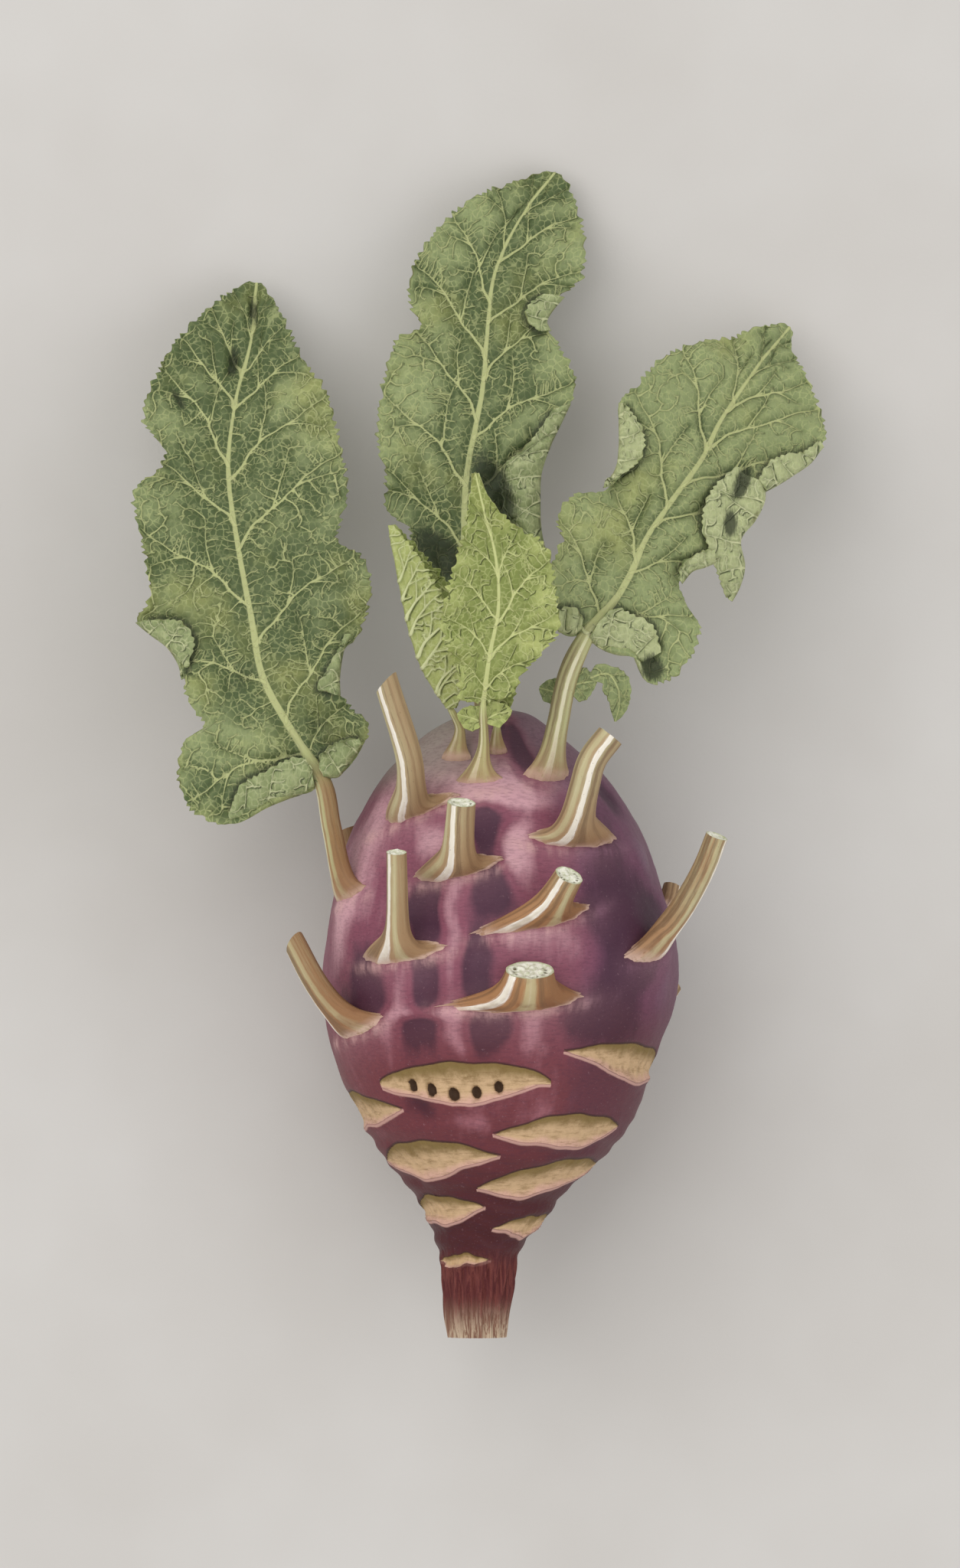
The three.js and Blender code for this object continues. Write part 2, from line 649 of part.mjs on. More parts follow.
// The blade of a leaf as a function: point(t, side, a), with t from base to tip, side -1 or 1, and a from 0 at
// the midrib through 1 at the toothed band to 2 at the margin, which tooth lengthens.
function bladeSurface(leaf) {
  const midrib = smoothPath(leaf.midrib);
  const margins = { "-1": smoothPath(leaf.left), 1: smoothPath(leaf.right) };
  const leads = { "-1": leaf.lead[0], 1: leaf.lead[1] };
  const slopes = { "-1": leaf.slope?.[0] ?? 0, 1: leaf.slope?.[1] ?? 0 };

  return function point(t, side, a, tooth = 0) {
    const middle = midrib.getPointAt(t + TIP_LEAD * smoothstep(t, 0.85, 1));
    const edge = margins[side].getPointAt(t ** leads[side]);
    const outward = new THREE.Vector3(edge.x - middle.x, edge.y - middle.y, 0);
    const reach = Math.max(outward.length(), 1e-6);
    outward.divideScalar(reach);
    const band = Math.min(MARGIN_BAND, 0.45 * reach);
    const wave = Math.sin(2 * Math.PI * leaf.waves * t + (side > 0 ? 1.9 : 0));
    const ruffle = leaf.ruffle * wave * smoothstep(reach, 2, 12);
    const inBand = Math.max(a - 1, 0) * band + tooth * smoothstep(reach, 1, 6);
    const across = (reach - band) * Math.min(a, 1) + inBand;
    const p = middle.clone().addScaledVector(outward, across);
    p.z += slopes[side] * across + (leaf.rise * reach + ruffle) * (across / reach) ** 2;
    return p;
  };
}

// A blade with toothed margins: two margin points for every row.
function bladeSolid(leaf) {
  const point = bladeSurface(leaf);
  const half = leaf.columns ?? BLADE_COLUMNS;
  const columns = [...half.map((a) => [-1, a]).reverse(), [1, 0], ...half.map((a) => [1, a])];
  const width = columns.length;
  const middle = (width - 1) / 2;
  const vertices = [];
  const extra = [];
  for (let i = 0; i <= leaf.rows; i++) {
    const t = (BLADE_END * i) / leaf.rows;
    columns.forEach(([side, a], j) => {
      vertices.push(point(t, side, a));
      extra.push(j === middle ? leaf.rib * (1 - 0.75 * t) : 0);
    });
  }
  const marginStart = {};
  for (const side of [-1, 1]) {
    marginStart[side] = vertices.length;
    for (let k = 0; k <= 2 * leaf.rows; k++) {
      const t = (BLADE_END * k) / (2 * leaf.rows);
      vertices.push(point(t, side, 2, k % 2 ? TOOTH / 2 : -TOOTH / 2));
      extra.push(0);
    }
  }
  const triangles = [];
  for (let i = 0; i < leaf.rows; i++) {
    for (let j = 0; j + 1 < width; j++) {
      const a = i * width + j;
      triangles.push([a, a + 1, a + width], [a + 1, a + width + 1, a + width]);
    }
    const [l, r] = [marginStart[-1] + 2 * i, marginStart[1] + 2 * i];
    const [a, b] = [i * width, (i + 1) * width];
    triangles.push([l, a, l + 1], [a, b, l + 1], [l + 1, b, l + 2]);
    const [c, d] = [a + width - 1, b + width - 1];
    triangles.push([c, r, r + 1], [c, r + 1, d], [d, r + 1, r + 2]);
  }
  const row = (i) => Array.from({ length: width }, (_, j) => i * width + j);
  const margin = (side) => Array.from({ length: 2 * leaf.rows + 1 }, (_, k) => marginStart[side] + k);
  const border = [...row(0), ...margin(1), ...row(leaf.rows).reverse(), ...margin(-1).reverse()];
  return thicken(vertices, triangles, border, extra);
}

// A margin folded up over the blade: it starts inside the blade at its bend and ends in a toothed free edge.
function foldSolid({ outer, inner }) {
  const bend = smoothPath(outer);
  const edge = smoothPath(inner);
  const width = FOLD_COLUMNS.length;
  const vertices = [];
  for (let i = 0; i <= FOLD_ROWS; i++) {
    const from = bend.getPointAt(i / FOLD_ROWS);
    const to = edge.getPointAt(i / FOLD_ROWS);
    const tooth = (i % 2 ? TOOTH : -TOOTH) / 2 / Math.max(from.distanceTo(to), TOOTH);
    for (const share of FOLD_COLUMNS) {
      const p = from.clone().lerp(to, share < 1 ? share : 1 + tooth);
      p.z += 3 * FOLD_ARCH * Math.sqrt(share) * (1 - share) ** 1.5;
      vertices.push(p);
    }
  }
  const triangles = [];
  for (let i = 0; i < FOLD_ROWS; i++) {
    for (let j = 0; j + 1 < width; j++) {
      const a = i * width + j;
      triangles.push([a, a + 1, a + width], [a + 1, a + width + 1, a + width]);
    }
  }
  const row = (i) => Array.from({ length: width }, (_, j) => i * width + j);
  const column = (j) => Array.from({ length: FOLD_ROWS - 1 }, (_, i) => (i + 1) * width + j);
  const border = [...row(0), ...column(width - 1), ...row(FOLD_ROWS).reverse(), ...column(0).reverse()];
  return closedSheet(vertices, triangles, border);
}

// A thin sheet made solid whichever way its triangles turn.
function closedSheet(vertices, triangles, border) {
  const extra = vertices.map(() => 0);
  const solid = thicken(vertices, triangles, border, extra);
  if (solid.volume() > 0) return solid;
  const flipped = triangles.map(([a, b, c]) => [a, c, b]);
  return thicken(vertices, flipped, border.reverse(), extra);
}

// A small lobe on a stalk, as a leaf whose margins bow out from its midrib.
function leaflet({ midrib, spread, rise }) {
  const curve = smoothPath(midrib);
  const bow = (side) =>
    [0, 0.15, 0.4, 0.7, 0.9, 1].map((share) => {
      const p = curve.getPointAt(share);
      const along = curve.getTangentAt(share);
      const out = side * (share < 1 ? 0.8 : 0.2) + side * spread * Math.sin(Math.PI * share ** 0.8);
      return [p.x + along.y * out, p.y - along.x * out];
    });
  return { midrib, left: bow(-1), right: bow(1), rise, ...LEAFLET };
}

function leafSolid(leaf) {
  const rib = smoothPath(leaf.midrib);
  const tail = [0.03, 0.1].map((t) => rib.getPointAt(t).add(new THREE.Vector3(0, 0, -1)).toArray());
  let solid = stalkSolid(leaf.stalk, tail).add(bladeSolid(leaf));
  for (const lobe of leaf.leaflets ?? []) solid = solid.add(bladeSolid(leaflet(lobe)));
  for (const fold of leaf.folds ?? []) solid = solid.add(foldSolid(fold));
  return standOnSkin(solid);
}

// ---- The whole plant ----

const kohlrabi = new THREE.Group();
kohlrabi.name = "kohlrabi";

function addPiece(name, solid, material) {
  const mesh = new THREE.Mesh(toGeometry(solid), material);
  mesh.name = name;
  kohlrabi.add(mesh);
}

addPiece("swollen_stem", stem, SKIN);
[...CUT_STALKS, ...LOW_STALKS.map(lowStalk)].forEach((stalk, i) => {
  addPiece(`cut_stalk_${String(i + 1).padStart(2, "0")}`, standOnSkin(stalkSolid(stalk)), CUT_STALK);
});
for (const leaf of LEAVES) {
  addPiece(leaf.name, leafSolid(leaf), leaf.rows < 20 ? YOUNG_GREEN : GREEN);
}

export default kohlrabi;
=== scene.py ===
"""A purple kohlrabi with its leaves, lying on a pale table, seen from straight above."""

import math

import bpy
import numpy as np
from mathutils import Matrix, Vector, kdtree


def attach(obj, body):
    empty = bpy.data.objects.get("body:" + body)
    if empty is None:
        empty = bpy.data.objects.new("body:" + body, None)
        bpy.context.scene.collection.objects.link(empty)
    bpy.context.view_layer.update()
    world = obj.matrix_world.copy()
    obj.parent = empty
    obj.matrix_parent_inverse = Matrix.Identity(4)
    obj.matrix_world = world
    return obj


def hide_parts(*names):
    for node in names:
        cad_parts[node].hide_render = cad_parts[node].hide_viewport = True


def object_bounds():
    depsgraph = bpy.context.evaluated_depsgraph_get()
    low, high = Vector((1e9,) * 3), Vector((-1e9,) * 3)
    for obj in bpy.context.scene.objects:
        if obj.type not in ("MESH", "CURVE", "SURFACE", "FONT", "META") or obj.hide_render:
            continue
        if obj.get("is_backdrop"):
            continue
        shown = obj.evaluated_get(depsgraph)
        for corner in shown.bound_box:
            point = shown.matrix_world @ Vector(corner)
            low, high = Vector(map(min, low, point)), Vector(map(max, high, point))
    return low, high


MM = 0.001  # lengths below are in millimetres, but the table's and the lights' are in metres
HAIR = 0.01  # how far inside the solids' own box every piece stays
PATH_STEPS = 41  # places along a curve between two of its points
LATTICE = 32  # cells of noise before it repeats

# ---- The swollen stem ----

AXIS_HEIGHT = 45
# Distance along Y, radius, and the axis's sideways offset in X.
STEM_PROFILE = [
    (-95.4, 7.2, -6.2), (-91, 7.9, -6.3), (-82, 9, -5.8), (-74.8, 9.9, -5.7), (-70.5, 11.6, -5.2), (-65, 15.1, -3.6),
    (-58, 19.6, -3), (-51.5, 25.8, -1.9), (-42.4, 33.1, -0.7), (-35.2, 37, -1), (-28, 39.8, -1.5),
    (-20.4, 42.3, -1.2), (-10.5, 45, -0.2), (-0.6, 45.8, 0), (10, 44.8, -0.3), (22.6, 41.6, -1), (30.5, 39.2, -1.1),
    (37.6, 36.4, -1.3), (44, 33, -1.8), (50.3, 28.4, -2.2), (57, 21.2, -2.5), (62, 15, -2.2), (65.6, 8.6, -1),
    (67, 2, 0),
]
STEM_SECTORS = 310
STEM_RINGS = 270
LUMP = 0.5
TABLE_GAP = 0.02  # between the stem and the table
STUMP = (-78, -71)  # where the root stump gives way to skin
CROWN = (42, 58)  # where the crown begins and where it is complete
CUSHION_RISE = 0.8
SHELF_RISE = 0.45
PATCH_RISE = 0.8
# Leaf scars: distance along Y, angle from the top, half the angle spanned, half the height, and how far the
# end towards +X lies towards the crown.
SCARS = [
    (-29.2, -13, 35, 5.7, 0), (-24, 65, 41, 4.3, -3.4), (-36.5, -80, 40, 5, 0.8), (-41.3, 32, 35, 4.3, 0.8),
    (-48.6, -40, 43, 4.5, 0.9), (-53.4, 40, 50, 4.3, 3), (-62, -52, 50, 3.8, 0.8), (-66, 55, 48, 2.5, 0.8),
    (-75.2, -30, 50, 1.7, 0.3),
]
HIDDEN_SCARS = 6
SCAR_DEPTH = 0.9
SCAR_LIP = 0.8
SCAR_GROOVE = 0.45
SCAR_GRAIN = 0.1
SCAR_FAR = 4  # the depth inside a scar that stands for a place far outside
HOLE_DEPTH = 1.3
# Holes of the leaf bundles on the scars: scar, share across its half width, distance up from its middle line,
# half width and half height.
BUNDLE_HOLES = [
    (0, -0.58, -0.5, 1.3, 1.8), (0, -0.36, -1.7, 1.35, 1.9), (0, -0.1, -3, 1.6, 1.9), (0, 0.16, -1.6, 1.35, 1.8),
    (0, 0.41, -0.5, 1.3, 1.7),
]
BUNDLE_HOLES += [(1, -0.52 + 0.1 * k, -2.9 + 0.25 * k, 0.34, 0.4) for k in range(7)]
# Soft patches of paler, raised skin and darker, sunk skin, partly the skin's own mottling and partly painted
# highlight and painted shade: distance along Y, angle, half sizes along and round, strength.
PATCHES = [
    (46.5, 4, 4.5, 19, 1.5), (54, -30, 7, 16, 0.7), (37, -58, 9, 13, 0.7), (32, -28, 6, 7, 0.8), (29, 10, 9, 6, 1.2),
    (17, -14, 10, 5, 0.7), (2, -14, 9, 4.5, 0.55), (18, -62, 10, 10, 1.2), (3, -62, 6, 9, 0.5), (-4, -35, 6, 5, 0.7),
    (-9.5, -24, 2.6, 16, 0.9), (-16, -13, 7, 5.5, 1.0), (-16, -38, 7, 4.5, 0.6), (-16, 14, 6, 6, 0.7),
    (8, 9, 3.5, 9, 0.6), (6, 25, 5, 8, 0.6), (-37.5, -12, 4, 11, 0.5), (-36, 20, 4, 11, 0.3),
    (36.5, -2, 7, 8.5, -1.9), (20, 1, 7.5, 8.5, -1.5), (14.5, -25, 8, 8, -2), (1, -6, 8.5, 7, -1.5),
    (-4, -52, 8.5, 11, -1.5), (-3, -27, 5.5, 6.5, -1.5), (-16, -27, 6.5, 8, -1.6), (-15, -2, 6, 9, -1.5),
    (24, 44, 14, 17, -0.7), (0, 46, 18, 18, -0.9), (-14, 36, 9, 15, -0.8), (58, 20, 7, 8, -1.1), (62, 8, 5, 5, -0.6),
    (-36, -30, 4, 9, -0.7),
]
# The same round the sides and the back, where pale and dark patches take turns.
PATCHES += [
    (46 - (17 * k) % 68, 64 + (97 * k) % 226, 6 + k % 4, 8 + k % 3, (-1.0, 0.9, -0.7, 0.6)[k % 4]) for k in range(28)
]

# ---- Stalks ----

FOOT_DEPTH = 5
SKIRT_HEIGHT = 4
SKIRT_DEPTH = 3
CUT_WIDTH = 0.86  # a stalk's width at its far end, as a share of its width at the foot
# at: distance along Y and angle. path: the stalk's middle. skirt: how far the foot spreads to each side. ribs:
# the angles of its cream rib, which also carries a painted highlight, and its yellow-green rib round the stalk, from
# 180 on the left to 360 on the right.
# warm: how red-brown it is.
CUT_STALKS = [
    dict(
        at=(40.4, -40), path=[(-23.2, 47, 80), (-23.6, 54.5, 84), (-29.3, 73.6, 88)], width=7.6, skirt=(8, 15),
        twist=19, slant=35, ribs=(262, 228), warm=0,
    ),
    dict(
        at=(26, -16.5), path=[(-11.3, 29.3, 90), (-10.7, 35.2, 94), (-10.1, 43, 97)], width=8.4, skirt=(11, 13.5),
        twist=12, ribs=(250, 214),
    ),
    dict(
        at=(4.6, -35), path=[(-26.5, 8, 87.5), (-26.5, 16.8, 92), (-26.7, 30.3, 96)], width=6.2, skirt=(12, 14),
        twist=7, ribs=(250, 285),
    ),
    dict(
        at=(-14.5, -58), path=[(-42.4, -10.3, 70), (-47.7, -3, 72), (-53, 7, 73)], width=7.2, skirt=(8, 14), twist=12,
        slant=35, ribs=(232, 300), warm=0.8,
    ),
    dict(
        at=(33.9, 31), path=[(19.6, 39.2, 84), (21.4, 47.1, 88), (23.4, 53.9, 90), (28, 60, 89.5)], width=8.6,
        skirt=(13, 14.5), twist=-2, ribs=(245, 210),
    ),
    dict(
        at=(13.6, 15), path=[(14, 18.4, 94), (17.4, 24.4, 98)], width=8.8, skirt=(19, 13), twist=13, ribs=(222, 275),
        warm=0.9,
    ),
    dict(
        at=(-7.4, 9), path=[(7.3, -4, 95), (7.5, 0.2, 97)], width=13.5, skirt=(23, 15), twist=4, ribs=(215, 262),
        warm=1,
    ),
    dict(
        at=(5, 58), path=[(43, 11, 69), (47.2, 17, 72), (52.2, 26.2, 75), (55.4, 34.4, 77)], width=7.2, skirt=(11, 8),
        twist=8, ribs=(282, 240), warm=0.7,
    ),
    dict(at=(16, 100), path=[(43.6, 18.6, 36), (44.4, 21.4, 35)], width=5.4, skirt=(6, 6), twist=0, ribs=(240, 280)),
]
LOW_STALKS = [(38, 140), (30, -116), (16, 131), (8, -135), (-8, -118), (-10, 120)]
LOW_STALK_RISE = 4
LOW_STALK_LEAN = 6
STALK_SIDES = 64
STALK_STATIONS = 38
# Ribs round a stalk besides its cream and yellow-green ones: angle, height and half width in degrees.
SMALL_RIBS = [(196, 0.5, 9), (300, 0.7, 10), (322, 0.5, 8), (344, 0.7, 10), (20, 0.8, 14), (62, 0.7, 12)]
SMALL_RIBS += [(104, 0.8, 14), (146, 0.7, 12)]
RIB_HEIGHT = 0.07
CUT_BUNDLES = 11

# ---- Leaves ----

BLADE = 0.55  # a blade's thickness
MARGIN_THIN = 0.45  # its share at the margin
MARGIN_BAND = 2
TOOTH = 1.3
FINE_TOOTH = 2.3
BLADE_END = 0.985  # how much of the way to the tip the cross lines reach
TIP_LEAD = 0.012
FOLD_ARCH = 1.6
FOLD_BEND = 0.45
# How dark the painted shadow is on the blade under a fold's free edge.
FOLD_DARK = 0.7
FOLD_DIP = 0.6  # how far the blade sinks under a fold's free edge
VEIN_RISE = 0.13
UNDER_VEIN_RISE = 0.18
VEIN_STEP = 0.45
# Widths of a vein at its start and at its end.
MAIN_VEIN = (0.9, 0.3)
FORK_VEIN = (0.5, 0.24)
WAVE = 6.28  # one full wave of a sine
GROWTH_STEPS = 160
IDLE_STEPS = 9  # a spot that no vein nears for so long is given up
# area: for each spot that draws veins. stop: how near a spot they end. least: the shortest shown. apart: how far
# apart they start. girth: the thinnest, what the growth beyond adds, and the thickest.
SMALL_VEINS = dict(area=20, stop=2.0, least=3.5, apart=3.2, girth=(0.28, 0.04, 0.48))
FINE_VEINS = dict(area=2.5, stop=0.7, least=1.3, apart=1.5, girth=(0.18, 0.04, 0.34))
# teeth: of the coarse outline. midrib and margins: from base to tip. lead: how early the cross lines reach along
# each margin. slope: how steeply each half rises. folds: where a margin is folded up over the blade, from its bend
# to its free edge. left_veins and right_veins: start along the midrib and end along the margin. hollows: place,
# half length, half width, turn, depth, and how dark the painted shade in them is.
LEAVES = [
    dict(
        name="left_leaf", teeth=54, lead=(0.72, 0.82), rise=0.1, ruffle=1.7, waves=5.5, rib=1.5,
        stalk=dict(
            at=(19.5, -63), path=[(-43.4, 36, 67), (-45.4, 47, 67)], width=5.8, skirt=(7.5, 8), twist=14, warm=0.8,
        ),
        midrib=[
            (-46, 49, 67), (-51, 57, 66.5), (-61.2, 75, 61), (-64.4, 91, 55), (-68.4, 112, 46), (-70.6, 130, 36.5),
            (-68.6, 148, 26.5), (-65, 163, 17.5), (-63.6, 179, 8),
        ],
        left=[
            (-47.6, 48), (-49, 45.4), (-53, 44.4), (-60, 41.4), (-68.6, 37.2), (-76, 38.5), (-82.4, 46), (-81.8, 58),
            (-76.4, 63), (-80, 68), (-82.4, 76), (-85, 82.4), (-94.4, 89.8), (-90.8, 95), (-92, 107), (-94.8, 124),
            (-88.6, 129), (-87, 134), (-92.8, 142.4), (-88.4, 156), (-83, 164.7), (-73, 174.2), (-63.8, 180),
        ],
        right=[
            (-44.4, 49.6), (-41.4, 49.6), (-35.2, 57), (-34, 63), (-38.6, 67.6), (-41.6, 73), (-40, 82), (-36.2, 87),
            (-33.4, 100), (-36.4, 107), (-42, 110.4), (-39.6, 122.6), (-41.4, 134.6), (-45.4, 149.7), (-51, 157.6),
            (-57, 170), (-63.4, 180),
        ],
        folds=[
            dict(
                outer=[
                    (-48, 47.4, 67.8), (-51, 45.6, 68), (-55, 44.2, 68.2), (-60, 42.2, 68.4), (-65, 39.8, 68.6),
                    (-70, 38.2, 68.8),
                ],
                inner=[
                    (-48.4, 51.6, 70.6), (-51.4, 54.6, 71), (-56, 53.4, 71), (-61.5, 50.4, 71), (-66.8, 47.4, 71),
                    (-69.6, 40.6, 70.4),
                ],
            ),
            dict(
                outer=[
                    (-45.6, 49.8, 68), (-42.2, 49.8, 68.2), (-40.4, 51.6, 68.4), (-38.2, 54.6, 68.4),
                    (-35.8, 58, 68.6),
                ],
                inner=[(-46.6, 52, 70), (-46.4, 55, 71), (-43.6, 57.6, 71.4), (-40.2, 59, 71.2), (-36.4, 59.4, 70)],
            ),
            dict(
                outer=[
                    (-82, 74.8, 58.6), (-82.8, 78.6, 58.2), (-85.6, 83, 57.8), (-90, 86.4, 57.2), (-93.8, 89.4, 56.6),
                ],
                inner=[(-81.2, 75.6, 59.6), (-80, 80, 60.6), (-79, 84.4, 60.4), (-82.2, 89.4, 60), (-91, 90, 58.6)],
            ),
            dict(
                outer=[(-41.7, 70.6, 66), (-41.9, 74, 65.6), (-41.5, 78, 65), (-40.3, 83, 63.4), (-38.4, 86.2, 62)],
                inner=[(-43.4, 71, 67), (-47.4, 72.6, 67.6), (-45, 76.4, 67.2), (-42.6, 80.6, 66), (-40.2, 86, 63.8)],
            ),
        ],
        left_veins=[
            (0.05, 0.1), (0.2, 0.27), (0.34, 0.48), (0.5, 0.6), (0.62, 0.78), (0.73, 0.83), (0.8, 0.9), (0.88, 0.95),
        ],
        right_veins=[
            (0.05, 0.12), (0.12, 0.29), (0.27, 0.39), (0.45, 0.6), (0.59, 0.71), (0.73, 0.81), (0.81, 0.88),
            (0.89, 0.95),
        ],
        hollows=[
            (-64.5, 171.7, 5, 1.5, 4, 1.4, 0.8), (-69.3, 158, 5, 2, -6, 2, 1), (-83.4, 147.6, 4.6, 1.9, 24, 1.5, 0.8),
            (-50, 118, 14, 6, 10, 1.2, 0.25), (-78, 112, 10, 6, 0, 1, 0.2), (-46, 62, 11, 7, 30, 1, 0.5),
            (-67, 75, 10, 6, -40, 1, 0.48), (-52, 92, 9, 5, 10, 0.8, 0.42),
        ],
    ),
    dict(
        name="middle_leaf", teeth=54, lead=(0.95, 0.95), rise=0.06, ruffle=1.6, waves=6, rib=1.5,
        stalk=dict(at=(56.5, 168), path=[(-3.6, 66, 38), (-4.2, 71, 41)], width=6.2, skirt=(6, 6), twist=0),
        midrib=[
            (-4.4, 73, 42), (-8, 92, 44.5), (-9.4, 112, 42.5), (-8.8, 128, 39), (-4.8, 149.5, 31.5), (-3, 170, 23),
            (-1.4, 181, 18.5), (6, 196.5, 10.5), (14.6, 208, 6),
        ],
        left=[
            (-6.4, 72.6), (-12, 77), (-20, 90), (-24, 103), (-23.6, 113.6), (-29.4, 118.4), (-29.8, 128),
            (-31.9, 136), (-30.8, 150), (-26.4, 163.6), (-20.8, 166.4), (-23.8, 173), (-22.4, 183), (-16.6, 192),
            (-7, 200.6), (3, 204.6), (14.4, 208.6),
        ],
        right=[
            (-2.4, 72.8), (4, 79), (10, 91), (12.4, 104), (10.6, 113), (10.4, 121), (10.8, 128), (15.4, 140),
            (18.8, 147), (19.2, 153.6), (15, 162), (12, 168.2), (15.6, 174.4), (20.8, 179), (22, 188), (19, 201),
            (14.8, 208.6),
        ],
        folds=[
            dict(
                outer=[
                    (11.6, 107, 44.6), (10.1, 113.4, 44), (9.8, 121, 43), (10.1, 128, 41), (12.6, 135.4, 38.8),
                    (15.2, 140.8, 37), (17.8, 146.2, 34.6),
                ],
                inner=[
                    (8.4, 109.6, 47), (2.8, 115.6, 47), (0.8, 121, 46.6), (0.8, 129.6, 45), (6, 134.6, 43),
                    (10.4, 140, 40.6), (13.6, 144.8, 37.4),
                ],
            ),
            dict(
                outer=[(12.8, 165.4, 25.6), (11.7, 167.8, 25.4), (13.2, 170.8, 24.4), (16.2, 174.4, 22.6)],
                inner=[(10, 165.4, 28.4), (6.6, 168.6, 28.6), (7.2, 172, 27.6), (11, 175, 25.2)],
            ),
        ],
        left_veins=[
            (0.12, 0.22), (0.24, 0.36), (0.36, 0.48), (0.48, 0.6), (0.6, 0.72), (0.71, 0.82), (0.82, 0.9),
            (0.91, 0.96),
        ],
        right_veins=[
            (0.1, 0.2), (0.22, 0.34), (0.33, 0.46), (0.45, 0.56), (0.56, 0.7), (0.67, 0.8), (0.79, 0.9), (0.89, 0.96),
        ],
        hollows=[
            (-1.5, 124, 11.5, 5, 24, 2.4, 1.2), (-15, 107, 11, 5, 45, 1.8, 1.15), (2, 112, 6, 4, 10, 1.5, 0.5),
            (-24, 130, 8, 5, 0, 1, 0.2), (8, 160, 8, 5, 0, 1, 0.2),
        ],
    ),
    dict(
        name="right_leaf", teeth=48, lead=(0.85, 0.72), rise=0.08, ruffle=1.5, waves=5.5, rib=1.5,
        stalk=dict(
            at=(50, 29), path=[(14.6, 63, 70), (17.4, 76, 72.5), (21.6, 85, 72.5)], width=6, skirt=(6.5, 6.5),
            twist=0,
        ),
        midrib=[
            (22.6, 87, 72.3), (28, 93, 70.5), (33, 101, 67), (38.2, 112, 61), (44.7, 121.6, 54), (52.2, 132, 45),
            (56.8, 141.4, 36.5), (63, 150.8, 27.5), (67.6, 157.4, 21), (75.6, 167, 10),
        ],
        left=[
            (21.2, 88), (18, 85.4), (14, 87), (12.4, 94), (12.4, 102.4), (15.6, 110.6), (14.6, 116.4), (18, 121.6),
            (26.4, 123.6), (30, 129.6), (30.4, 138), (30.2, 146.6), (35, 150.6), (41, 157.6), (51, 162.4),
            (60, 163.8), (67, 166.8), (75.4, 167.6),
        ],
        right=[
            (22.8, 84.6), (26.9, 81.6), (32, 80.4), (35.8, 79), (38, 73.6), (42.6, 74), (48.6, 80), (51.2, 88),
            (47.6, 93.9), (46.2, 99), (49.4, 102.2), (54.4, 104), (59.6, 108.4), (63, 111.6), (66.4, 117),
            (68.4, 122.4), (76.4, 127.8), (81, 131), (84, 136), (84, 141), (80.4, 152), (76, 161), (76, 167),
        ],
        folds=[
            dict(
                outer=[
                    (22.8, 85.4, 73), (26.4, 82.6, 71.6), (30.4, 81.2, 70.8), (34, 80.8, 70.4), (36.8, 79.2, 70.4),
                ],
                inner=[(25.6, 89.8, 75), (29.6, 92.8, 74.6), (34, 91.2, 73.6), (38.8, 88.6, 73), (41.2, 81.6, 72.4)],
            ),
            dict(
                outer=[(20.8, 87.6, 73), (18, 86.2, 72.8), (14.8, 87.2, 72.6)],
                inner=[(21.2, 90, 75.4), (18.6, 93.2, 75.6), (14.4, 92.4, 75)],
            ),
            dict(
                outer=[(46.6, 99.6, 62.4), (49.4, 102.8, 61), (52.4, 103.8, 59.8), (55.4, 105, 58.4)],
                inner=[(45.8, 102.6, 64.8), (48.4, 105.6, 64.2), (51.4, 107.4, 63.2), (55, 108.2, 62)],
            ),
            dict(
                outer=[
                    (68, 125, 49), (67.8, 121, 50.2), (65.4, 116, 52), (61.6, 110.8, 54.4), (62.6, 104, 54.6),
                    (61.4, 98.8, 53), (59.4, 95, 51.8),
                ],
                inner=[
                    (60.8, 129.6, 51), (55.6, 125, 53.8), (52.8, 120.4, 56.4), (52, 114, 59), (53.4, 109, 60.4),
                    (55.8, 102.4, 57.6), (58.2, 95.8, 52.6),
                ],
            ),
            dict(
                outer=[(68.4, 123.6, 48.6), (72, 125.6, 46.4), (76, 128.2, 43.8), (80, 131, 41.2), (83.2, 135, 38.2)],
                inner=[
                    (66.6, 126.2, 51), (69.4, 131, 49.2), (73.4, 132.8, 46.8), (78, 133.6, 43.8), (82.6, 136.4, 39.8),
                ],
            ),
            dict(
                outer=[(26.6, 124.2, 59.8), (30, 129, 57.2), (30.9, 134, 54), (31, 140, 50), (30.8, 146.2, 46.8)],
                inner=[
                    (27.4, 125, 61.4), (34.6, 130, 58.6), (37, 134.4, 55.8), (36.4, 139.6, 52.4), (32, 146.2, 48.8),
                ],
            ),
        ],
        leaflets=[
            dict(midrib=[(17, 72.6, 71.6), (20.6, 73.6, 71.2), (24.6, 74.2, 71)], spread=4, rise=0.2),
            dict(
                midrib=[(23, 75, 71.2), (27.4, 76, 71.4), (30, 72.4, 70.4), (30.4, 68, 68.6), (29.4, 63.8, 66.4)],
                spread=3, rise=0.2,
            ),
            dict(midrib=[(15.4, 71, 70.4), (13, 71.6, 69), (10, 72.4, 67.6)], spread=3, rise=-0.2),
        ],
        left_veins=[(0.03, 0.24), (0.2, 0.38), (0.36, 0.6), (0.55, 0.74), (0.72, 0.86), (0.86, 0.94)],
        right_veins=[
            (0.03, 0.2), (0.17, 0.34), (0.3, 0.5), (0.43, 0.66), (0.56, 0.78), (0.68, 0.85), (0.8, 0.92), (0.9, 0.96),
        ],
        hollows=[
            (62.6, 126, 5.6, 2.4, -20, 2.2, 1.2), (59.3, 115, 4.4, 2.1, 0, 1.6, 1.1),
            (39, 77.6, 4.4, 3.4, 20, 1.6, 1.1), (48, 101, 3, 3, 0, 1, 0.5), (30, 113, 9, 5, -30, 1.2, 0.3),
        ],
    ),
    dict(
        name="young_leaf", teeth=26, lead=(0.9, 0.85), rise=0.12, ruffle=1.1, waves=5, rib=0.9,
        stalk=dict(at=(48, -7), path=[(-4.4, 58, 77.5), (-4.6, 67, 82)], width=2.5, skirt=(6.5, 6.5), twist=6),
        midrib=[
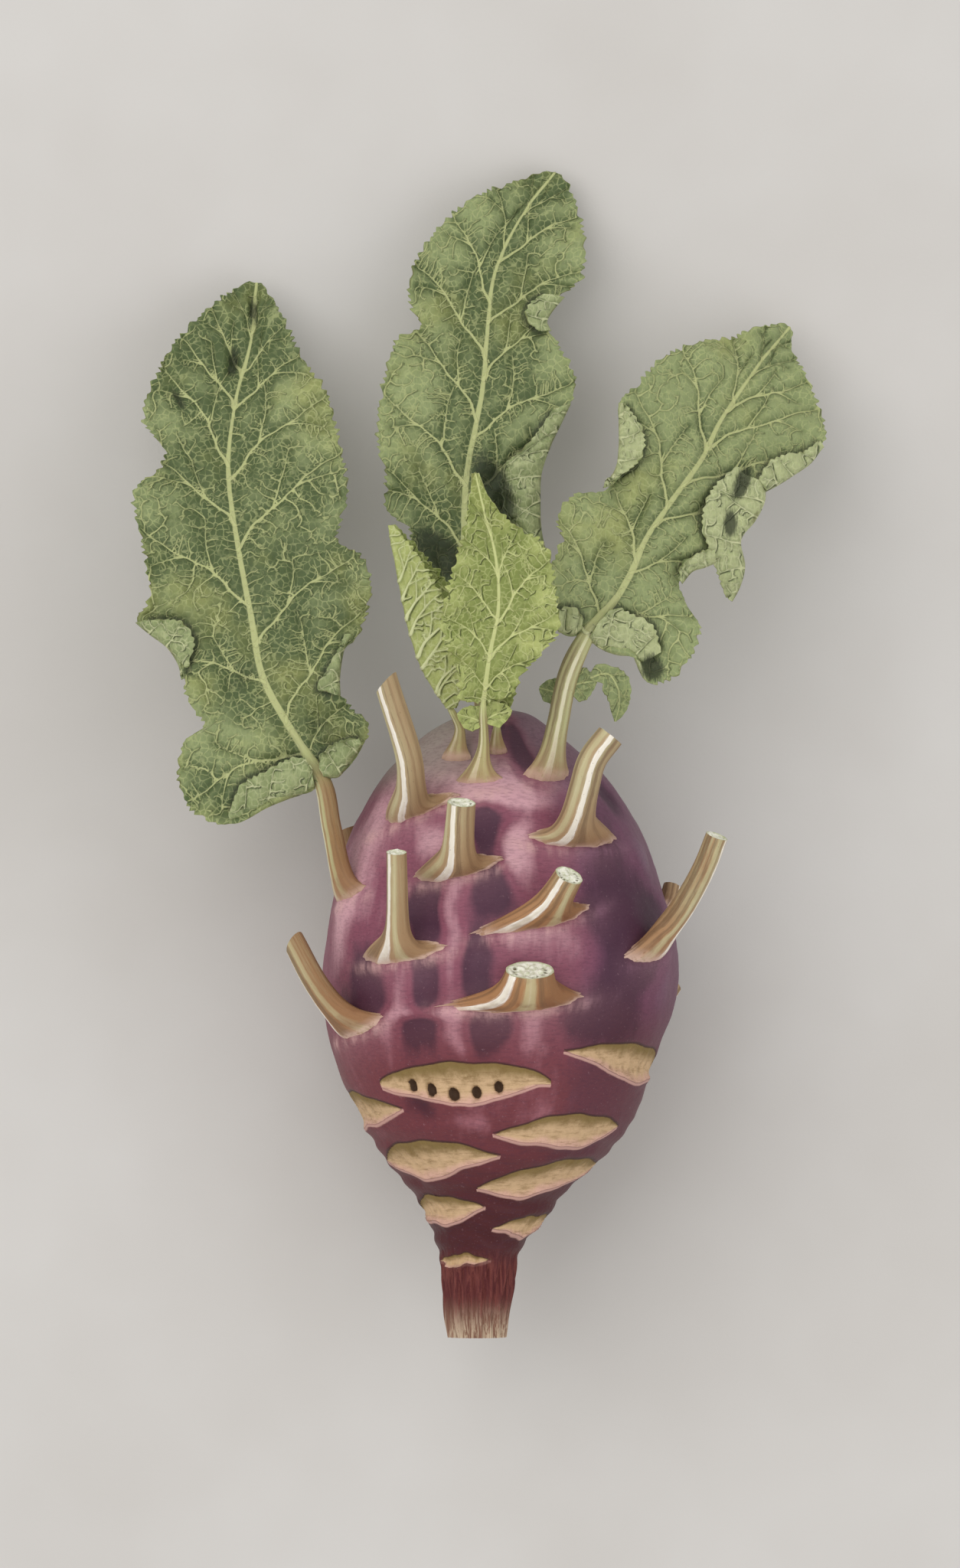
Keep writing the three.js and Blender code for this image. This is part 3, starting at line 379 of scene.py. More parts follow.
            (-4.5, 69, 83), (-3, 80, 87), (-0.6, 93, 90), (-1.4, 106, 91.5), (-4.2, 117, 91.5), (-6.6, 127.6, 90.5),
        ],
        left=[(-5.6, 68.6), (-10.6, 69.6), (-11, 76), (-15.2, 86.6), (-13.8, 97), (-11, 107), (-8.8, 116), (-7, 128)],
        right=[
            (-3.6, 69), (3, 70.6), (5, 75), (11.6, 82.4), (14.8, 87), (13.8, 98), (11.6, 108.4), (4, 113.6),
            (-2.4, 120), (-6.4, 128),
        ],
        leaflets=[
            dict(midrib=[(-4.4, 63.4, 80), (-7.4, 64.6, 80), (-11.2, 65.6, 79)], spread=2.6, rise=0.2),
            dict(midrib=[(-4.2, 64, 80.4), (-1.2, 65.6, 80.4), (2.8, 66.6, 79.4)], spread=2.6, rise=0.2),
        ],
        left_veins=[(0.06, 0.22), (0.2, 0.38), (0.36, 0.55), (0.54, 0.72), (0.72, 0.86)],
        right_veins=[(0.05, 0.2), (0.18, 0.36), (0.34, 0.55), (0.52, 0.72), (0.7, 0.86)],
        hollows=[(-8, 92, 6, 3, 0, 0.6, 0.2), (6, 100, 6, 3, 0, 0.6, 0.2)],
    ),
    dict(
        name="bud_leaf", teeth=14, lead=(1, 1), rise=0.25, ruffle=0.4, waves=3, rib=0.5,
        stalk=dict(at=(55.8, 4), path=[(-1.1, 60, 70.6), (-1, 63, 72.6)], width=1.8, skirt=(2.5, 2.5), twist=0),
        midrib=[(-1, 64, 73.2), (-0.6, 70, 75.4), (-0.8, 77, 77), (-1, 85, 77.6)],
        left=[(-1.8, 64), (-4.4, 68), (-5.2, 74), (-3.6, 80), (-1.3, 85.4)],
        right=[(-0.2, 64), (2.8, 68), (4, 74), (2.2, 80), (-0.8, 85.4)], left_veins=[(0.1, 0.3), (0.35, 0.6)],
        right_veins=[(0.2, 0.45), (0.5, 0.75)],
    ),
    dict(
        name="folded_leaf", teeth=24, lead=(1, 1), slope=(0.45, -0.55), rise=0.1, ruffle=0.6, waves=4, rib=0.6,
        stalk=dict(at=(54, -22), path=[(-10.6, 62, 67), (-12.6, 66.4, 68)], width=2.1, skirt=(4, 4), twist=0),
        midrib=[(-13.2, 67.6, 68.2), (-19.4, 77, 69.4), (-23.6, 89.5, 70), (-26, 102, 69.4), (-28.6, 114.4, 67.6)],
        left=[(-11.6, 67.2), (-9.4, 73), (-10.4, 85), (-15, 96), (-21.6, 107), (-28, 114.8)],
        right=[(-11.4, 67.2), (-8.6, 74), (-8, 86), (-13, 98.4), (-20, 107), (-27.8, 115)],
        left_veins=[(0.08, 0.22), (0.24, 0.4), (0.42, 0.58), (0.6, 0.76)],
        right_veins=[(0.1, 0.26), (0.3, 0.46), (0.5, 0.66), (0.7, 0.84)],
    ),
]
LEAFLET = dict(
    teeth=8, lead=(1, 1), ruffle=0.4, waves=2.5, rib=0.3, left_veins=[(0.15, 0.45), (0.5, 0.75)],
    right_veins=[(0.2, 0.5), (0.55, 0.8)],
)
YOUNG = ("young_leaf", "bud_leaf", "folded_leaf")
# How much lighter or darker a leaf is than the others. The leaflets are made lighter as painted light.
LEAF_LIGHT = {"right_leaf": 0.46, "folded_leaf": -0.3, "left_leaf": -0.18, "leaflet": 0.5}
# Rows along a blade, and columns from its midrib to the toothed band.
BLADE_GRIDS = {"bud_leaf": (90, 16), "young_leaf": (230, 30), "folded_leaf": (190, 26), "leaflet": (46, 14)}
BIG_GRID = (380, 33)

# ---- Helpers ----


def smooth(x, low, high):
    """0 below low, 1 above high, and a smooth step between."""
    k = np.clip((x - low) / (high - low), 0, 1)
    return k * k * (3 - 2 * k)


def mix(a, b, share):
    return a + (b - a) * share


def bell(x):
    return np.exp(-(x**2))


def saw(beat, rise, fall):
    """One tooth of height 1 for each beat, which rises over one share of it and falls over the rest."""
    step = beat % 1
    return np.minimum(step / rise, (1 - step) / fall)


def column(x):
    return x[:, None]


def unit(v):
    return v / np.maximum(np.linalg.norm(v, axis=-1, keepdims=True), 1e-9)


def half_turn(angle):
    """An angle in degrees brought between -180 and 180."""
    return (angle + 540) % 360 - 180


class Path:
    """A smooth curve through points, read by the share of its length. Points seen from above get a height of 0."""

    def __init__(self, points):
        p = np.array(points, float)
        p = np.pad(p, ((0, 0), (0, 3 - p.shape[1])))
        p = np.vstack([2 * p[0] - p[1], p, 2 * p[-1] - p[-2]])
        pieces = [self._piece(p[i : i + 4]) for i in range(len(p) - 3)]
        self.table = np.vstack([*[x[:-1] for x in pieces], p[-2:-1]])
        steps = np.linalg.norm(np.diff(self.table, axis=0), axis=1)
        self.marks = np.concatenate([[0], np.cumsum(steps)])
        self.length = self.marks[-1]

    @staticmethod
    def _piece(p):
        """The centripetal curve between the middle two of four points."""
        gaps = np.maximum(np.linalg.norm(np.diff(p, axis=0), axis=1) ** 0.5, 1e-4)
        a, b, c = gaps
        start = ((p[1] - p[0]) / a - (p[2] - p[0]) / (a + b) + (p[2] - p[1]) / b) * b
        end = ((p[2] - p[1]) / b - (p[3] - p[1]) / (b + c) + (p[3] - p[2]) / c) * b
        t = np.linspace(0, 1, PATH_STEPS)[:, None]
        k2 = -3 * p[1] + 3 * p[2] - 2 * start - end
        k3 = 2 * p[1] - 2 * p[2] + start + end
        return p[1] + start * t + k2 * t**2 + k3 * t**3

    def at(self, share):
        s = np.clip(share, 0, 1) * self.length
        return np.stack([np.interp(s, self.marks, self.table[:, k]) for k in range(3)], -1)

    def tangent(self, share):
        return unit(self.at(np.minimum(share + 1e-3, 1)) - self.at(np.maximum(share - 1e-3, 0)))


def value_noise(points, scale, seed):
    """Smooth noise from -1 to 1 at an array of points, from a seeded lattice of random values."""
    lattice = np.random.default_rng(seed).uniform(-1, 1, (LATTICE,) * 3)
    q = np.asarray(points, float) / scale
    cell = np.floor(q).astype(int)
    f = q - cell
    f = f * f * (3 - 2 * f)
    total = 0
    for corner in np.ndindex(2, 2, 2):
        i, j, k = np.moveaxis((cell + corner) % LATTICE, -1, 0)
        x, y, z = np.moveaxis(np.where(corner, f, 1 - f), -1, 0)
        total = total + lattice[i, j, k] * (x * y) * z
    return total


class Mesh:
    """Vertices, faces and named point attributes gathered from several surfaces."""

    def __init__(self):
        self.vertices, self.faces, self.values, self.count = [], [], {}, 0

    def add(self, vertices, faces, **values):
        """Adds a surface. Each value is a number or an array that fits the grid of vertices."""
        grid = vertices.shape[:-1]
        for name in sorted(set(self.values) | set(values)):
            gathered = self.values.setdefault(name, [np.zeros(self.count)])
            gathered.append(np.broadcast_to(values.get(name, 0.0), grid).ravel())
        self.vertices.append(vertices.reshape(-1, 3))
        self.faces.extend((np.asarray(faces) + self.count).tolist())
        self.count += math.prod(grid)

    def build(self, name, material, node):
        mesh = bpy.data.meshes.new(name)
        places = np.vstack(self.vertices)
        mesh.from_pydata((keep_inside(places) * MM).tolist(), [], self.faces)
        for key, gathered in self.values.items():
            layer = mesh.attributes.new(key, "FLOAT", "POINT")
            layer.data.foreach_set("value", np.concatenate(gathered).astype(np.float32))
        mesh.shade_smooth()
        mesh.materials.append(material)
        piece = bpy.data.objects.new(name, mesh)
        bpy.context.scene.collection.objects.link(piece)
        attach(piece, "root")
        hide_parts(node)


def keep_inside(places):
    """Places brought within the solids' own box, whose reach the fine relief passes by a hair at its far points."""
    low, high = (np.array(corner) / MM for corner in size["frame"])
    return np.clip(places, low + HAIR, high - HAIR)


def grid_faces(rows, columns, wrap=False, flip=False):
    """Quads of a rows by columns grid of vertices, row after row."""
    i, j = np.meshgrid(np.arange(rows - 1), np.arange(columns if wrap else columns - 1), indexing="ij")
    a, b = i * columns + j, i * columns + (j + 1) % columns
    quads = np.stack([a, b, b + columns, a + columns], -1).reshape(-1, 4)
    return quads[:, ::-1] if flip else quads


def grid_normals(p):
    return unit(np.cross(np.gradient(p, axis=1), np.gradient(p, axis=0)))


def closing_rings(ring, count, last):
    """Rings that shrink from a given one towards its middle, and the share of its size that each has."""
    middle, shares = ring.mean(0), np.linspace(1, last, count)[:, None]
    return middle + (ring - middle) * shares[..., None], shares


# ---- The swollen stem's shape ----

STEM_CURVE = Path([(radius, y, x) for y, radius, x in STEM_PROFILE])
# More scars on the underside, by turns on its two sides.
SCARS += [
    (-28 - 8 * k, 214 if k % 2 else 146, 38, mix(4.6, 2.6, k / HIDDEN_SCARS), 0) for k in range(HIDDEN_SCARS)
]


def stem_radius(y):
    return np.interp(y, STEM_CURVE.table[:, 1], STEM_CURVE.table[:, 0])


def round_axis(y, r, a):
    """Places at a distance from the stem's bent axis, at an angle in radians from the top."""
    offset = np.interp(y, STEM_CURVE.table[:, 1], STEM_CURVE.table[:, 2])
    return np.stack([offset + r * np.sin(a), y + 0 * a, AXIS_HEIGHT + r * np.cos(a)], -1)


def scar_fields(y, angle):
    """Relief of the scars, how far inside one a place is, how far down it (0 to 1), and how far inside a hole."""
    relief = np.zeros_like(y)
    inside, hole, down = np.full_like(y, -SCAR_FAR), np.full_like(y, -1.0), np.zeros_like(y)
    for k, (at, turn, half, tall, slant) in enumerate(SCARS):
        across = half_turn(angle - turn) / half
        ends = np.clip(1 - across**2, 0, 1)
        wave = 0.45 * np.sin(across * 5.3 + 2 * k) + 0.2 * np.sin(across * 13 + k)
        level = y - at - slant * across + wave * ends
        # The first scar alone has a full top edge and a pointed bottom edge.
        low = ends**1.2 if k else np.clip(1 - np.abs(across + 0.14), 0, 1) ** 0.9
        shape = np.where(level > 0, ends ** (1.15 if k else 0.65), low)
        lens = np.maximum(tall * shape * (1 + 0.1 * np.sin(across * 3.1 + 2 * k)), 0.12)
        up = level / lens
        relief -= SCAR_DEPTH * np.clip(1 - up**2, 0, 1) * ends
        relief += SCAR_LIP * ends * bell((up + 1.05) / 0.35)
        relief -= SCAR_GROOVE * ends * bell((up - 0.98) / 0.14)
        relief += SCAR_GRAIN * (np.abs(up) < 1) * ends * np.sin(across * 40 + up * 3 + k)
        depth = np.where(np.abs(across) < 1, lens - np.abs(level), -SCAR_FAR)
        down = np.where(depth > np.maximum(inside, -2), np.clip((1 - up) / 2, 0, 1), down)
        inside = np.maximum(inside, depth)
        for scar, place, rise, wide, high in BUNDLE_HOLES:
            if scar == k:
                aside = np.radians(across - place) * half * stem_radius(y)
                hole = np.maximum(hole, 1 - np.hypot(aside / wide, (level - rise) / high))
    relief -= HOLE_DEPTH * smooth(hole, 0, 0.3)
    return relief, inside, down, hole


def swelling(y, angle, radius):
    a = np.radians(angle)
    return LUMP * np.sin(3 * a + y / 16) * np.sin(y / 11 + 2 * a) * smooth(radius, 10, 30)


def stem_point(y, angle, outward=0.0):
    """A point on the stem's skin, or outward of it."""
    y, angle = np.asarray(y, float), np.asarray(angle, float)
    radius = stem_radius(y)
    r = radius + swelling(y, angle, radius) + scar_fields(y, angle)[0] + outward
    return round_axis(y, r, np.radians(angle))


def skin_fields(y, angle, radius, around):
    """How close each place is to a stalk's foot, the shelf under each foot, and how pale its patch of skin is."""
    cushion, shelf, patch = np.zeros_like(y), np.zeros_like(y), np.zeros_like(y)
    stalks = CUT_STALKS + [leaf["stalk"] for leaf in LEAVES]
    feet = [(*s["at"], sum(s["skirt"]) / 2, s["twist"]) for s in stalks] + [(*at, 8, 0) for at in LOW_STALKS]
    for foot_y, foot_angle, spread, twist in feet:
        side = np.radians(half_turn(angle - foot_angle)) * radius
        # The shelf lies a little below the foot's middle, and its ends bend towards the crown.
        level = y - foot_y + 3.2 - side * math.tan(math.radians(twist))
        cushion = np.maximum(cushion, bell(np.hypot(side / (spread * 1.25), level / 7)))
        edge = bell((level - 0.004 * side**2) / 1.6) * (1 - smooth(np.abs(side) / spread, 0.9, 1.6))
        shelf = np.maximum(shelf, edge)
    sway_y, sway_turn = 3.2 * value_noise(around, 9, 5), 5 * value_noise(around, 8, 6)
    for patch_y, patch_angle, long, wide, strength in PATCHES:
        turn = half_turn(angle - patch_angle) + sway_turn
        patch += strength * np.exp(-(((y - patch_y + sway_y) / long) ** 2) - (turn / wide) ** 2)
    return cushion, shelf, patch


def build_stem(material):
    rings = STEM_CURVE.at(np.linspace(0, 1, STEM_RINGS))[:, 1]
    y, angle = np.meshgrid(rings, np.arange(STEM_SECTORS) * 360 / STEM_SECTORS, indexing="ij")
    radius, a = stem_radius(y), np.radians(angle)
    relief, inside, down, hole = scar_fields(y, angle)
    around = np.stack([np.sin(a) * 30, y, np.cos(a) * 30], -1)
    cushion, shelf, patch = skin_fields(y, angle, radius, around)
    stump = 1 - smooth(y, *STUMP)
    fibres = stump * (0.35 * np.sin(a * 17 + 2 * np.sin(y / 5)) + 0.2 * np.sin(a * 41 + y / 3))
    creases = 0.3 * smooth(-y, 30, 50) * (1 - stump) * np.sin(y * 1.3 + 2 * np.sin(2 * a) + np.sin(5 * a))
    fine = 0.25 * value_noise(around, 6, 3) + 0.09 * value_noise(around, 1.7, 4)
    outward = swelling(y, angle, radius) + relief + fibres + creases * (inside < 0)
    outward += fine * smooth(radius, 6, 20)
    lifted = CUSHION_RISE * cushion + SHELF_RISE * shelf + PATCH_RISE * np.clip(patch, -1.3, 1.2)
    outward += lifted * smooth(radius, 20, 30) * (1 - smooth(radius, 43.5, 45) * smooth(-np.cos(a), 0.5, 0.9))
    # Nothing stands out where the stem rests on the table.
    resting = smooth(-np.cos(a), 0.93, 0.985) * smooth(radius, 42, 44)
    vertices = round_axis(y, radius + mix(outward, np.minimum(outward, 0), resting), a)
    vertices[..., 2] = np.maximum(vertices[..., 2], TABLE_GAP)
    shape = Mesh()
    shape.add(
        vertices,
        grid_faces(STEM_RINGS, STEM_SECTORS, wrap=True, flip=True),
        scar=inside,
        down=down,
        hole=hole,
        stump=stump,
        crown=smooth(y, *CROWN),
        cushion=cushion,
        shelf=shelf,
        patch=patch,
        turn=half_turn(angle),
    )
    # The root stump's cut end is a little rough and hollow.
    rows, shares = closing_rings(vertices[0], 9, 0.03)
    rough = 0.25 * value_noise(rows, 1.2, 8) * (1 - shares**8)
    rows[..., 1] += 0.5 * (1 - shares**2) + rough
    no_scar = dict(scar=-SCAR_FAR, hole=-1.0)
    shape.add(rows, grid_faces(len(shares), STEM_SECTORS, wrap=True), stump=1.0, end=1.0, **no_scar)
    shape.add(vertices[-1], [list(range(STEM_SECTORS))[::-1]], crown=1.0, **no_scar)
    shape.build("stem", material, "swollen_stem")


# ---- The stalks' shape ----


def stalk_ribs(turn, ribs, seed):
    """Height of the ribs at angles round a stalk, and masks of the cream rib and the yellow-green one."""
    cream = bell(half_turn(turn - ribs[0]) / 13)
    moss = bell(half_turn(turn - ribs[1]) / 15)
    height = 1.2 * cream + 0.8 * moss + 0.12 * np.sin(np.radians(turn) * 23 + seed)
    for k, (at, tall, wide) in enumerate(SMALL_RIBS):
        shift = 7 * math.sin(seed * 1.7 + k * 2.3)
        height = np.maximum(height, tall * bell(half_turn(turn - at - shift) / wide))
    return height - 0.5, cream, moss


def stalk_tube(shape, stalk, tail=()):
    """A ribbed stalk with its foot spread over the skin. The tail carries a leaf's stalk into its midrib."""
    leaf = len(tail) > 0
    y, angle = stalk["at"]
    turn, twist = math.radians(angle), math.radians(stalk["twist"])
    outward = np.array([math.sin(turn), 0, math.cos(turn)])
    flat = np.array([math.cos(turn), 0, -math.sin(turn)])
    around = flat * math.cos(twist) + np.cross(outward, flat) * math.sin(twist)
    curve = Path([stem_point(y - 1, angle, -FOOT_DEPTH), stem_point(y, angle), *stalk["path"], *tail])
    bend = 2 * max(float(stem_radius(y)), 15)
    # Columns, one row for each station from foot to end.
    share = column(np.linspace(0, 1, STALK_STATIONS) ** 1.25)
    centre, along = curve.at(share), curve.tangent(share)
    above = np.maximum(share * curve.length - FOOT_DEPTH, 0)
    flare = np.exp(-((above / SKIRT_HEIGHT) ** 1.2))
    lean = along @ around
    across = unit(around + ((flare - 1) * lean)[..., None] * along)
    deep = unit(np.cross(along, across))
    taper = mix(1, 0.45, smooth(share, 0.6, 1)) if leaf else 1
    body = stalk["width"] / 2 * mix(1, CUT_WIDTH, share) * taper
    # Rows of stations by columns of places round the stalk.
    sides = np.arange(STALK_SIDES) * 360 / STALK_SIDES
    a = np.radians(sides)
    spread = np.maximum(np.where(np.cos(a) < 0, *stalk["skirt"]) - body, 0) * flare
    seed = int(y * 7 + angle * 3) % 97
    ribs, cream, moss = stalk_ribs(sides + 3 * np.sin(above / 6 + seed), stalk.get("ribs", (250, 290)), seed)
    rough = RIB_HEIGHT * ribs * mix(1, 0.6, share) * (0.6 if leaf else 1)
    edge = bell(above / 2) * (0.03 * np.sin(a * 11 + seed) + 0.02 * np.sin(a * 23 + 2 * seed))
    u = (body + spread) * np.cos(a)
    w = mix(body * 0.9, np.minimum(body, SKIRT_DEPTH), flare) * np.sin(a)
    w = w * (1 - 0.6 * flare * np.cos(a) ** 4)
    rim = centre + across * (u * (1 + rough * (1 - 0.8 * flare) + edge))[..., None]
    rim = rim + deep * (w * (1 + rough + edge))[..., None]
    rim = rim - outward * (flare * u * u / bend)[..., None]
    slant = math.tan(math.radians(stalk.get("slant", 0)))
    rim = rim + along * (u * slant)[..., None] * smooth(share, 0.86, 1)[..., None]
    shape.add(
        rim,
        grid_faces(STALK_STATIONS, STALK_SIDES, wrap=True),
        stalk=1.0,
        rib=ribs,
        cream=cream,
        moss=moss,
        height=above,
        foot=flare,
        lip=bell(above / 1.1),
        warm=stalk.get("warm", 0 if leaf else 0.25),
        side=np.cos(a),
        round=(sides - 90) % 360 / 360,
        fade=smooth(share, 0.62, 0.86) if leaf else 0.0,
    )
    if not leaf:
        add_cut(shape, rim[-1], along[-1], seed)


def add_cut(shape, ring, along, seed):
    """A stalk's cut end: slightly hollow, with a crescent of leaf bundles."""
    rows, shares = closing_rings(ring, 18, 0.02)
    a = np.arange(STALK_SIDES) * 2 * math.pi / STALK_SIDES
    cx, cy = shares * np.cos(a), shares * np.sin(a)
    bundle = np.zeros_like(cx)
    for k in range(CUT_BUNDLES):
        place = math.radians(150 + 240 * k / (CUT_BUNDLES - 1))
        gap = np.hypot(cx - 0.66 * math.cos(place), cy - 0.66 * math.sin(place))
        bundle = np.maximum(bundle, 1 - smooth(gap, 0.05, 0.11))
    hollow = 0.35 * (1 - shares**4) + 0.3 * bundle + 0.45 * value_noise(rows, 1.1, seed)
    rows = rows - along * (hollow * np.minimum(1, (1 - shares) * 9))[..., None]
    faces = grid_faces(len(shares), STALK_SIDES, wrap=True)
    shape.add(rows, faces, stalk=1.0, cut=1.0, bundle=bundle, edge=smooth(shares, 0.84, 0.97))


def low_stalk(y, angle):
    top = stem_point(y + LOW_STALK_LEAN, angle, LOW_STALK_RISE + 1)
    middle = stem_point(y + LOW_STALK_LEAN / 3, angle, LOW_STALK_RISE / 2)
    return dict(at=(y, angle), path=[middle, top], width=8.6, skirt=(8, 8), twist=0)


# ---- Veins ----


def wavy_line(start, end, heading, rng, sway=1.0):
    """A vein's line seen from above, which leaves along a heading and sways on its way."""
    reach = np.linalg.norm(end - start)
    t = np.linspace(0, 1, max(int(reach / VEIN_STEP), 4))[:, None]
    pull = start + 0.42 * reach * unit(unit(end - start) + 0.5 * heading)
    line = (1 - t) ** 2 * start + 2 * t * (1 - t) * pull + t**2 * end
    along = unit(np.gradient(line, axis=0))
    sides = np.stack([-along[:, 1], along[:, 0]], -1)
    phase = rng.uniform(0, WAVE, 2)
    waves = 0.55 * np.sin(reach / 21 * WAVE * t + phase[0]) + 0.1 * np.sin(reach / 6 * WAVE * t + phase[1])
    return line + sides * waves * sway * smooth(t, 0, 0.15) * min(1, reach / 20)


def side_veins(leaf, blade, rng):
    """The veins from the midrib to the margins, each with two forks: lists of places and widths."""
    lines = []
    left, right = leaf["left_veins"], leaf["right_veins"]
    for side, start, end in [(-1, *vein) for vein in left] + [(1, *vein) for vein in right]:
        a, b = blade.place(start, side, 0), blade.place(end, side, 1.75)
        line = wavy_line(a, b, blade.heading(start), rng)
        thick = min(1, np.linalg.norm(b - a) / 22)
        lines.append((line, mix(*MAIN_VEIN, np.linspace(0, 1, len(line))) * thick))
        for share, way in ((0.42, 1), (0.66, -1)):
            k = int(share * (len(line) - 1))
            ahead = unit(line[k + 1] - line[k])
            swing = way * side * rng.uniform(0.5, 0.75)
            c, s = math.cos(swing), math.sin(swing)
            turned = np.array([ahead[0] * c - ahead[1] * s, ahead[0] * s + ahead[1] * c])
            reach = np.linalg.norm(b - line[k]) * rng.uniform(0.6, 0.8)
            fork = wavy_line(line[k], line[k] + turned * reach, ahead, rng, 0.7)
            lines.append((fork, mix(*FORK_VEIN, np.linspace(0, 1, len(fork))) * thick))
    return lines


def grow_veins(start, course, spots, kind, tight, rng):
    """Veins that grow from the starting places towards scattered spots and fork where spots pull them apart.
    course is each starting vein's own direction. Gives places every small step, with widths that follow how much
    grows on from each, and the new places with their directions. Sprigs too short to show are left out."""
    nodes, origin, fresh, first = start.copy(), np.full(len(start), -1), 0, len(start)
    stop, crowded = kind["stop"] / tight, np.full(len(start), -1)
    gap, owner, idle = np.full(len(spots), np.inf), np.zeros(len(spots), int), np.zeros(len(spots), int)
    for _ in range(GROWTH_STEPS):
        reach = np.linalg.norm(spots[:, None] - nodes[None, fresh:], axis=-1)
        nearest = reach.argmin(1)
        closest = reach[np.arange(len(spots)), nearest]
        better = closest < gap - 1e-6
        owner, idle = np.where(better, nearest + fresh, owner), np.where(better, 0, idle + 1)
        gap = np.minimum(gap, closest)
        keep = (gap > stop) & (idle < IDLE_STEPS)
        spots, gap, owner, idle = spots[keep], gap[keep], owner[keep], idle[keep]
        if not len(spots):
            break
        pull = np.zeros_like(nodes)
        np.add.at(pull, owner, unit(spots - nodes[owner]))
        who = np.unique(owner)
        for k in who[who < first]:
            if crowded[k] < 0:
                near = np.linalg.norm(start - start[k], axis=1) < kind["apart"] / tight
                crowded[near & (crowded < 0)] = k
        who = who[(who >= first) | (crowded[np.minimum(who, first - 1)] == who)]
        if not len(who):
            break
        swirl = 0.8 * value_noise(np.pad(nodes[who], ((0, 0), (0, 1))), 3, 5)
        ahead = unit(pull[who])
        curl = np.stack([-ahead[:, 1], ahead[:, 0]], -1) * swirl[:, None]
        heading = unit(ahead + 0.5 * course[who] + curl + 0.1 * rng.normal(size=(len(who), 2)))
        fresh = len(nodes)
        nodes = np.vstack([nodes, nodes[who] + VEIN_STEP * heading])
        course = np.vstack([course, heading])
        origin = np.concatenate([origin, who])
    kept, weight = long_sprigs(origin, first, kind["least"] / tight)
    least, gain, most = kind["girth"]
    wide = np.minimum(least + gain * np.sqrt(weight), most)[kept]
    here, back = nodes[kept], nodes[origin[kept]]
    share = np.array([0, 1 / 3, 2 / 3])[:, None, None]
    return mix(here, back, share).reshape(-1, 2), np.tile(wide, 3), here, course[kept]


def long_sprigs(origin, first, least):
    """Which of the new places lie on a sprig that is long enough, and how much grows on from each place."""
    weight, span, kept = np.ones(len(origin)), np.zeros(len(origin)), np.zeros(len(origin), bool)
    for k in range(len(origin) - 1, first - 1, -1):
        weight[origin[k]] += weight[k]
        span[origin[k]] = max(span[origin[k]], span[k] + VEIN_STEP)
    for k in range(first, len(origin)):
        kept[k] = kept[origin[k]] or (origin[k] < first and span[k] > least)
    return kept, weight


def densify(line, wide):
    """A line's places and widths at a third of their spacing."""
    index = np.arange(len(line))
    at = np.linspace(0, len(line) - 1, 3 * len(line) - 2)
    return np.stack([np.interp(at, index, line[:, k]) for k in (0, 1)], -1), np.interp(at, index, wide)


def nearest_vein(place, samples, wide):
    """Offset from each place to the nearest sample of the veins, that vein's width, and the gap to its edge."""
    tree = kdtree.KDTree(len(samples))
    for k, (x, y) in enumerate(samples):
        tree.insert((x, y, 0), k)
    tree.balance()
    flat = place.reshape(-1, 2)
    index = np.array([tree.find((x, y, 0))[1] for x, y in flat])
    offset = samples[index] - flat
    girth = wide[index]
    gap = np.linalg.norm(offset, axis=1) - girth / 2
    shape = place.shape[:-1]
    return offset.reshape(*shape, 2), girth.reshape(shape), gap.reshape(shape)


def scatter(place, area, rng):
    """Spots scattered evenly over a grid of places, one for each piece of the given area."""
    edges_u, edges_v = np.gradient(place, axis=0), np.gradient(place, axis=1)
    cell = np.abs(edges_u[..., 0] * edges_v[..., 1] - edges_u[..., 1] * edges_v[..., 0]).ravel()
    count = max(int(cell.sum() / area), 3)
    picked = rng.choice(len(cell), count, p=cell / cell.sum())
    return place.reshape(-1, 2)[picked] + rng.uniform(-0.3, 0.3, (count, 2))


def vein_fields(place, main, seed, extra=(), tight=1.0):
    """Attributes of the veins over a grid of places seen from above, from its main ones down to the finest.
    extra holds more lines for veins to start from. tight is how much more closely they lie than on a big leaf."""
    rng = np.random.default_rng(seed)
    lines = [line for line, _ in main] + [*extra]
    starts, course = np.vstack(lines), np.vstack([unit(np.gradient(line, axis=0)) for line in lines])
    dense = [densify(line, wide) for line, wide in main]
    samples, wide = np.vstack([p for p, _ in dense]), np.concatenate([w for _, w in dense])
    gaps = [nearest_vein(place, samples, wide)[2]]
    for kind in (SMALL_VEINS, FINE_VEINS):
        spots = scatter(place, kind["area"] / tight**2, rng)
        more, more_wide, nodes, ways = grow_veins(starts, course, spots, kind, tight, rng)
        samples, wide = np.vstack([samples, more]), np.concatenate([wide, more_wide])
        starts, course = np.vstack([starts, nodes]), np.vstack([course, ways])
        offset, girth, gap = nearest_vein(place, samples, wide)
        gaps.append(gap)
    return dict(zip(("side_gap", "small_gap", "gap"), gaps), girth=girth, offset=offset)


# ---- The leaves' shape ----


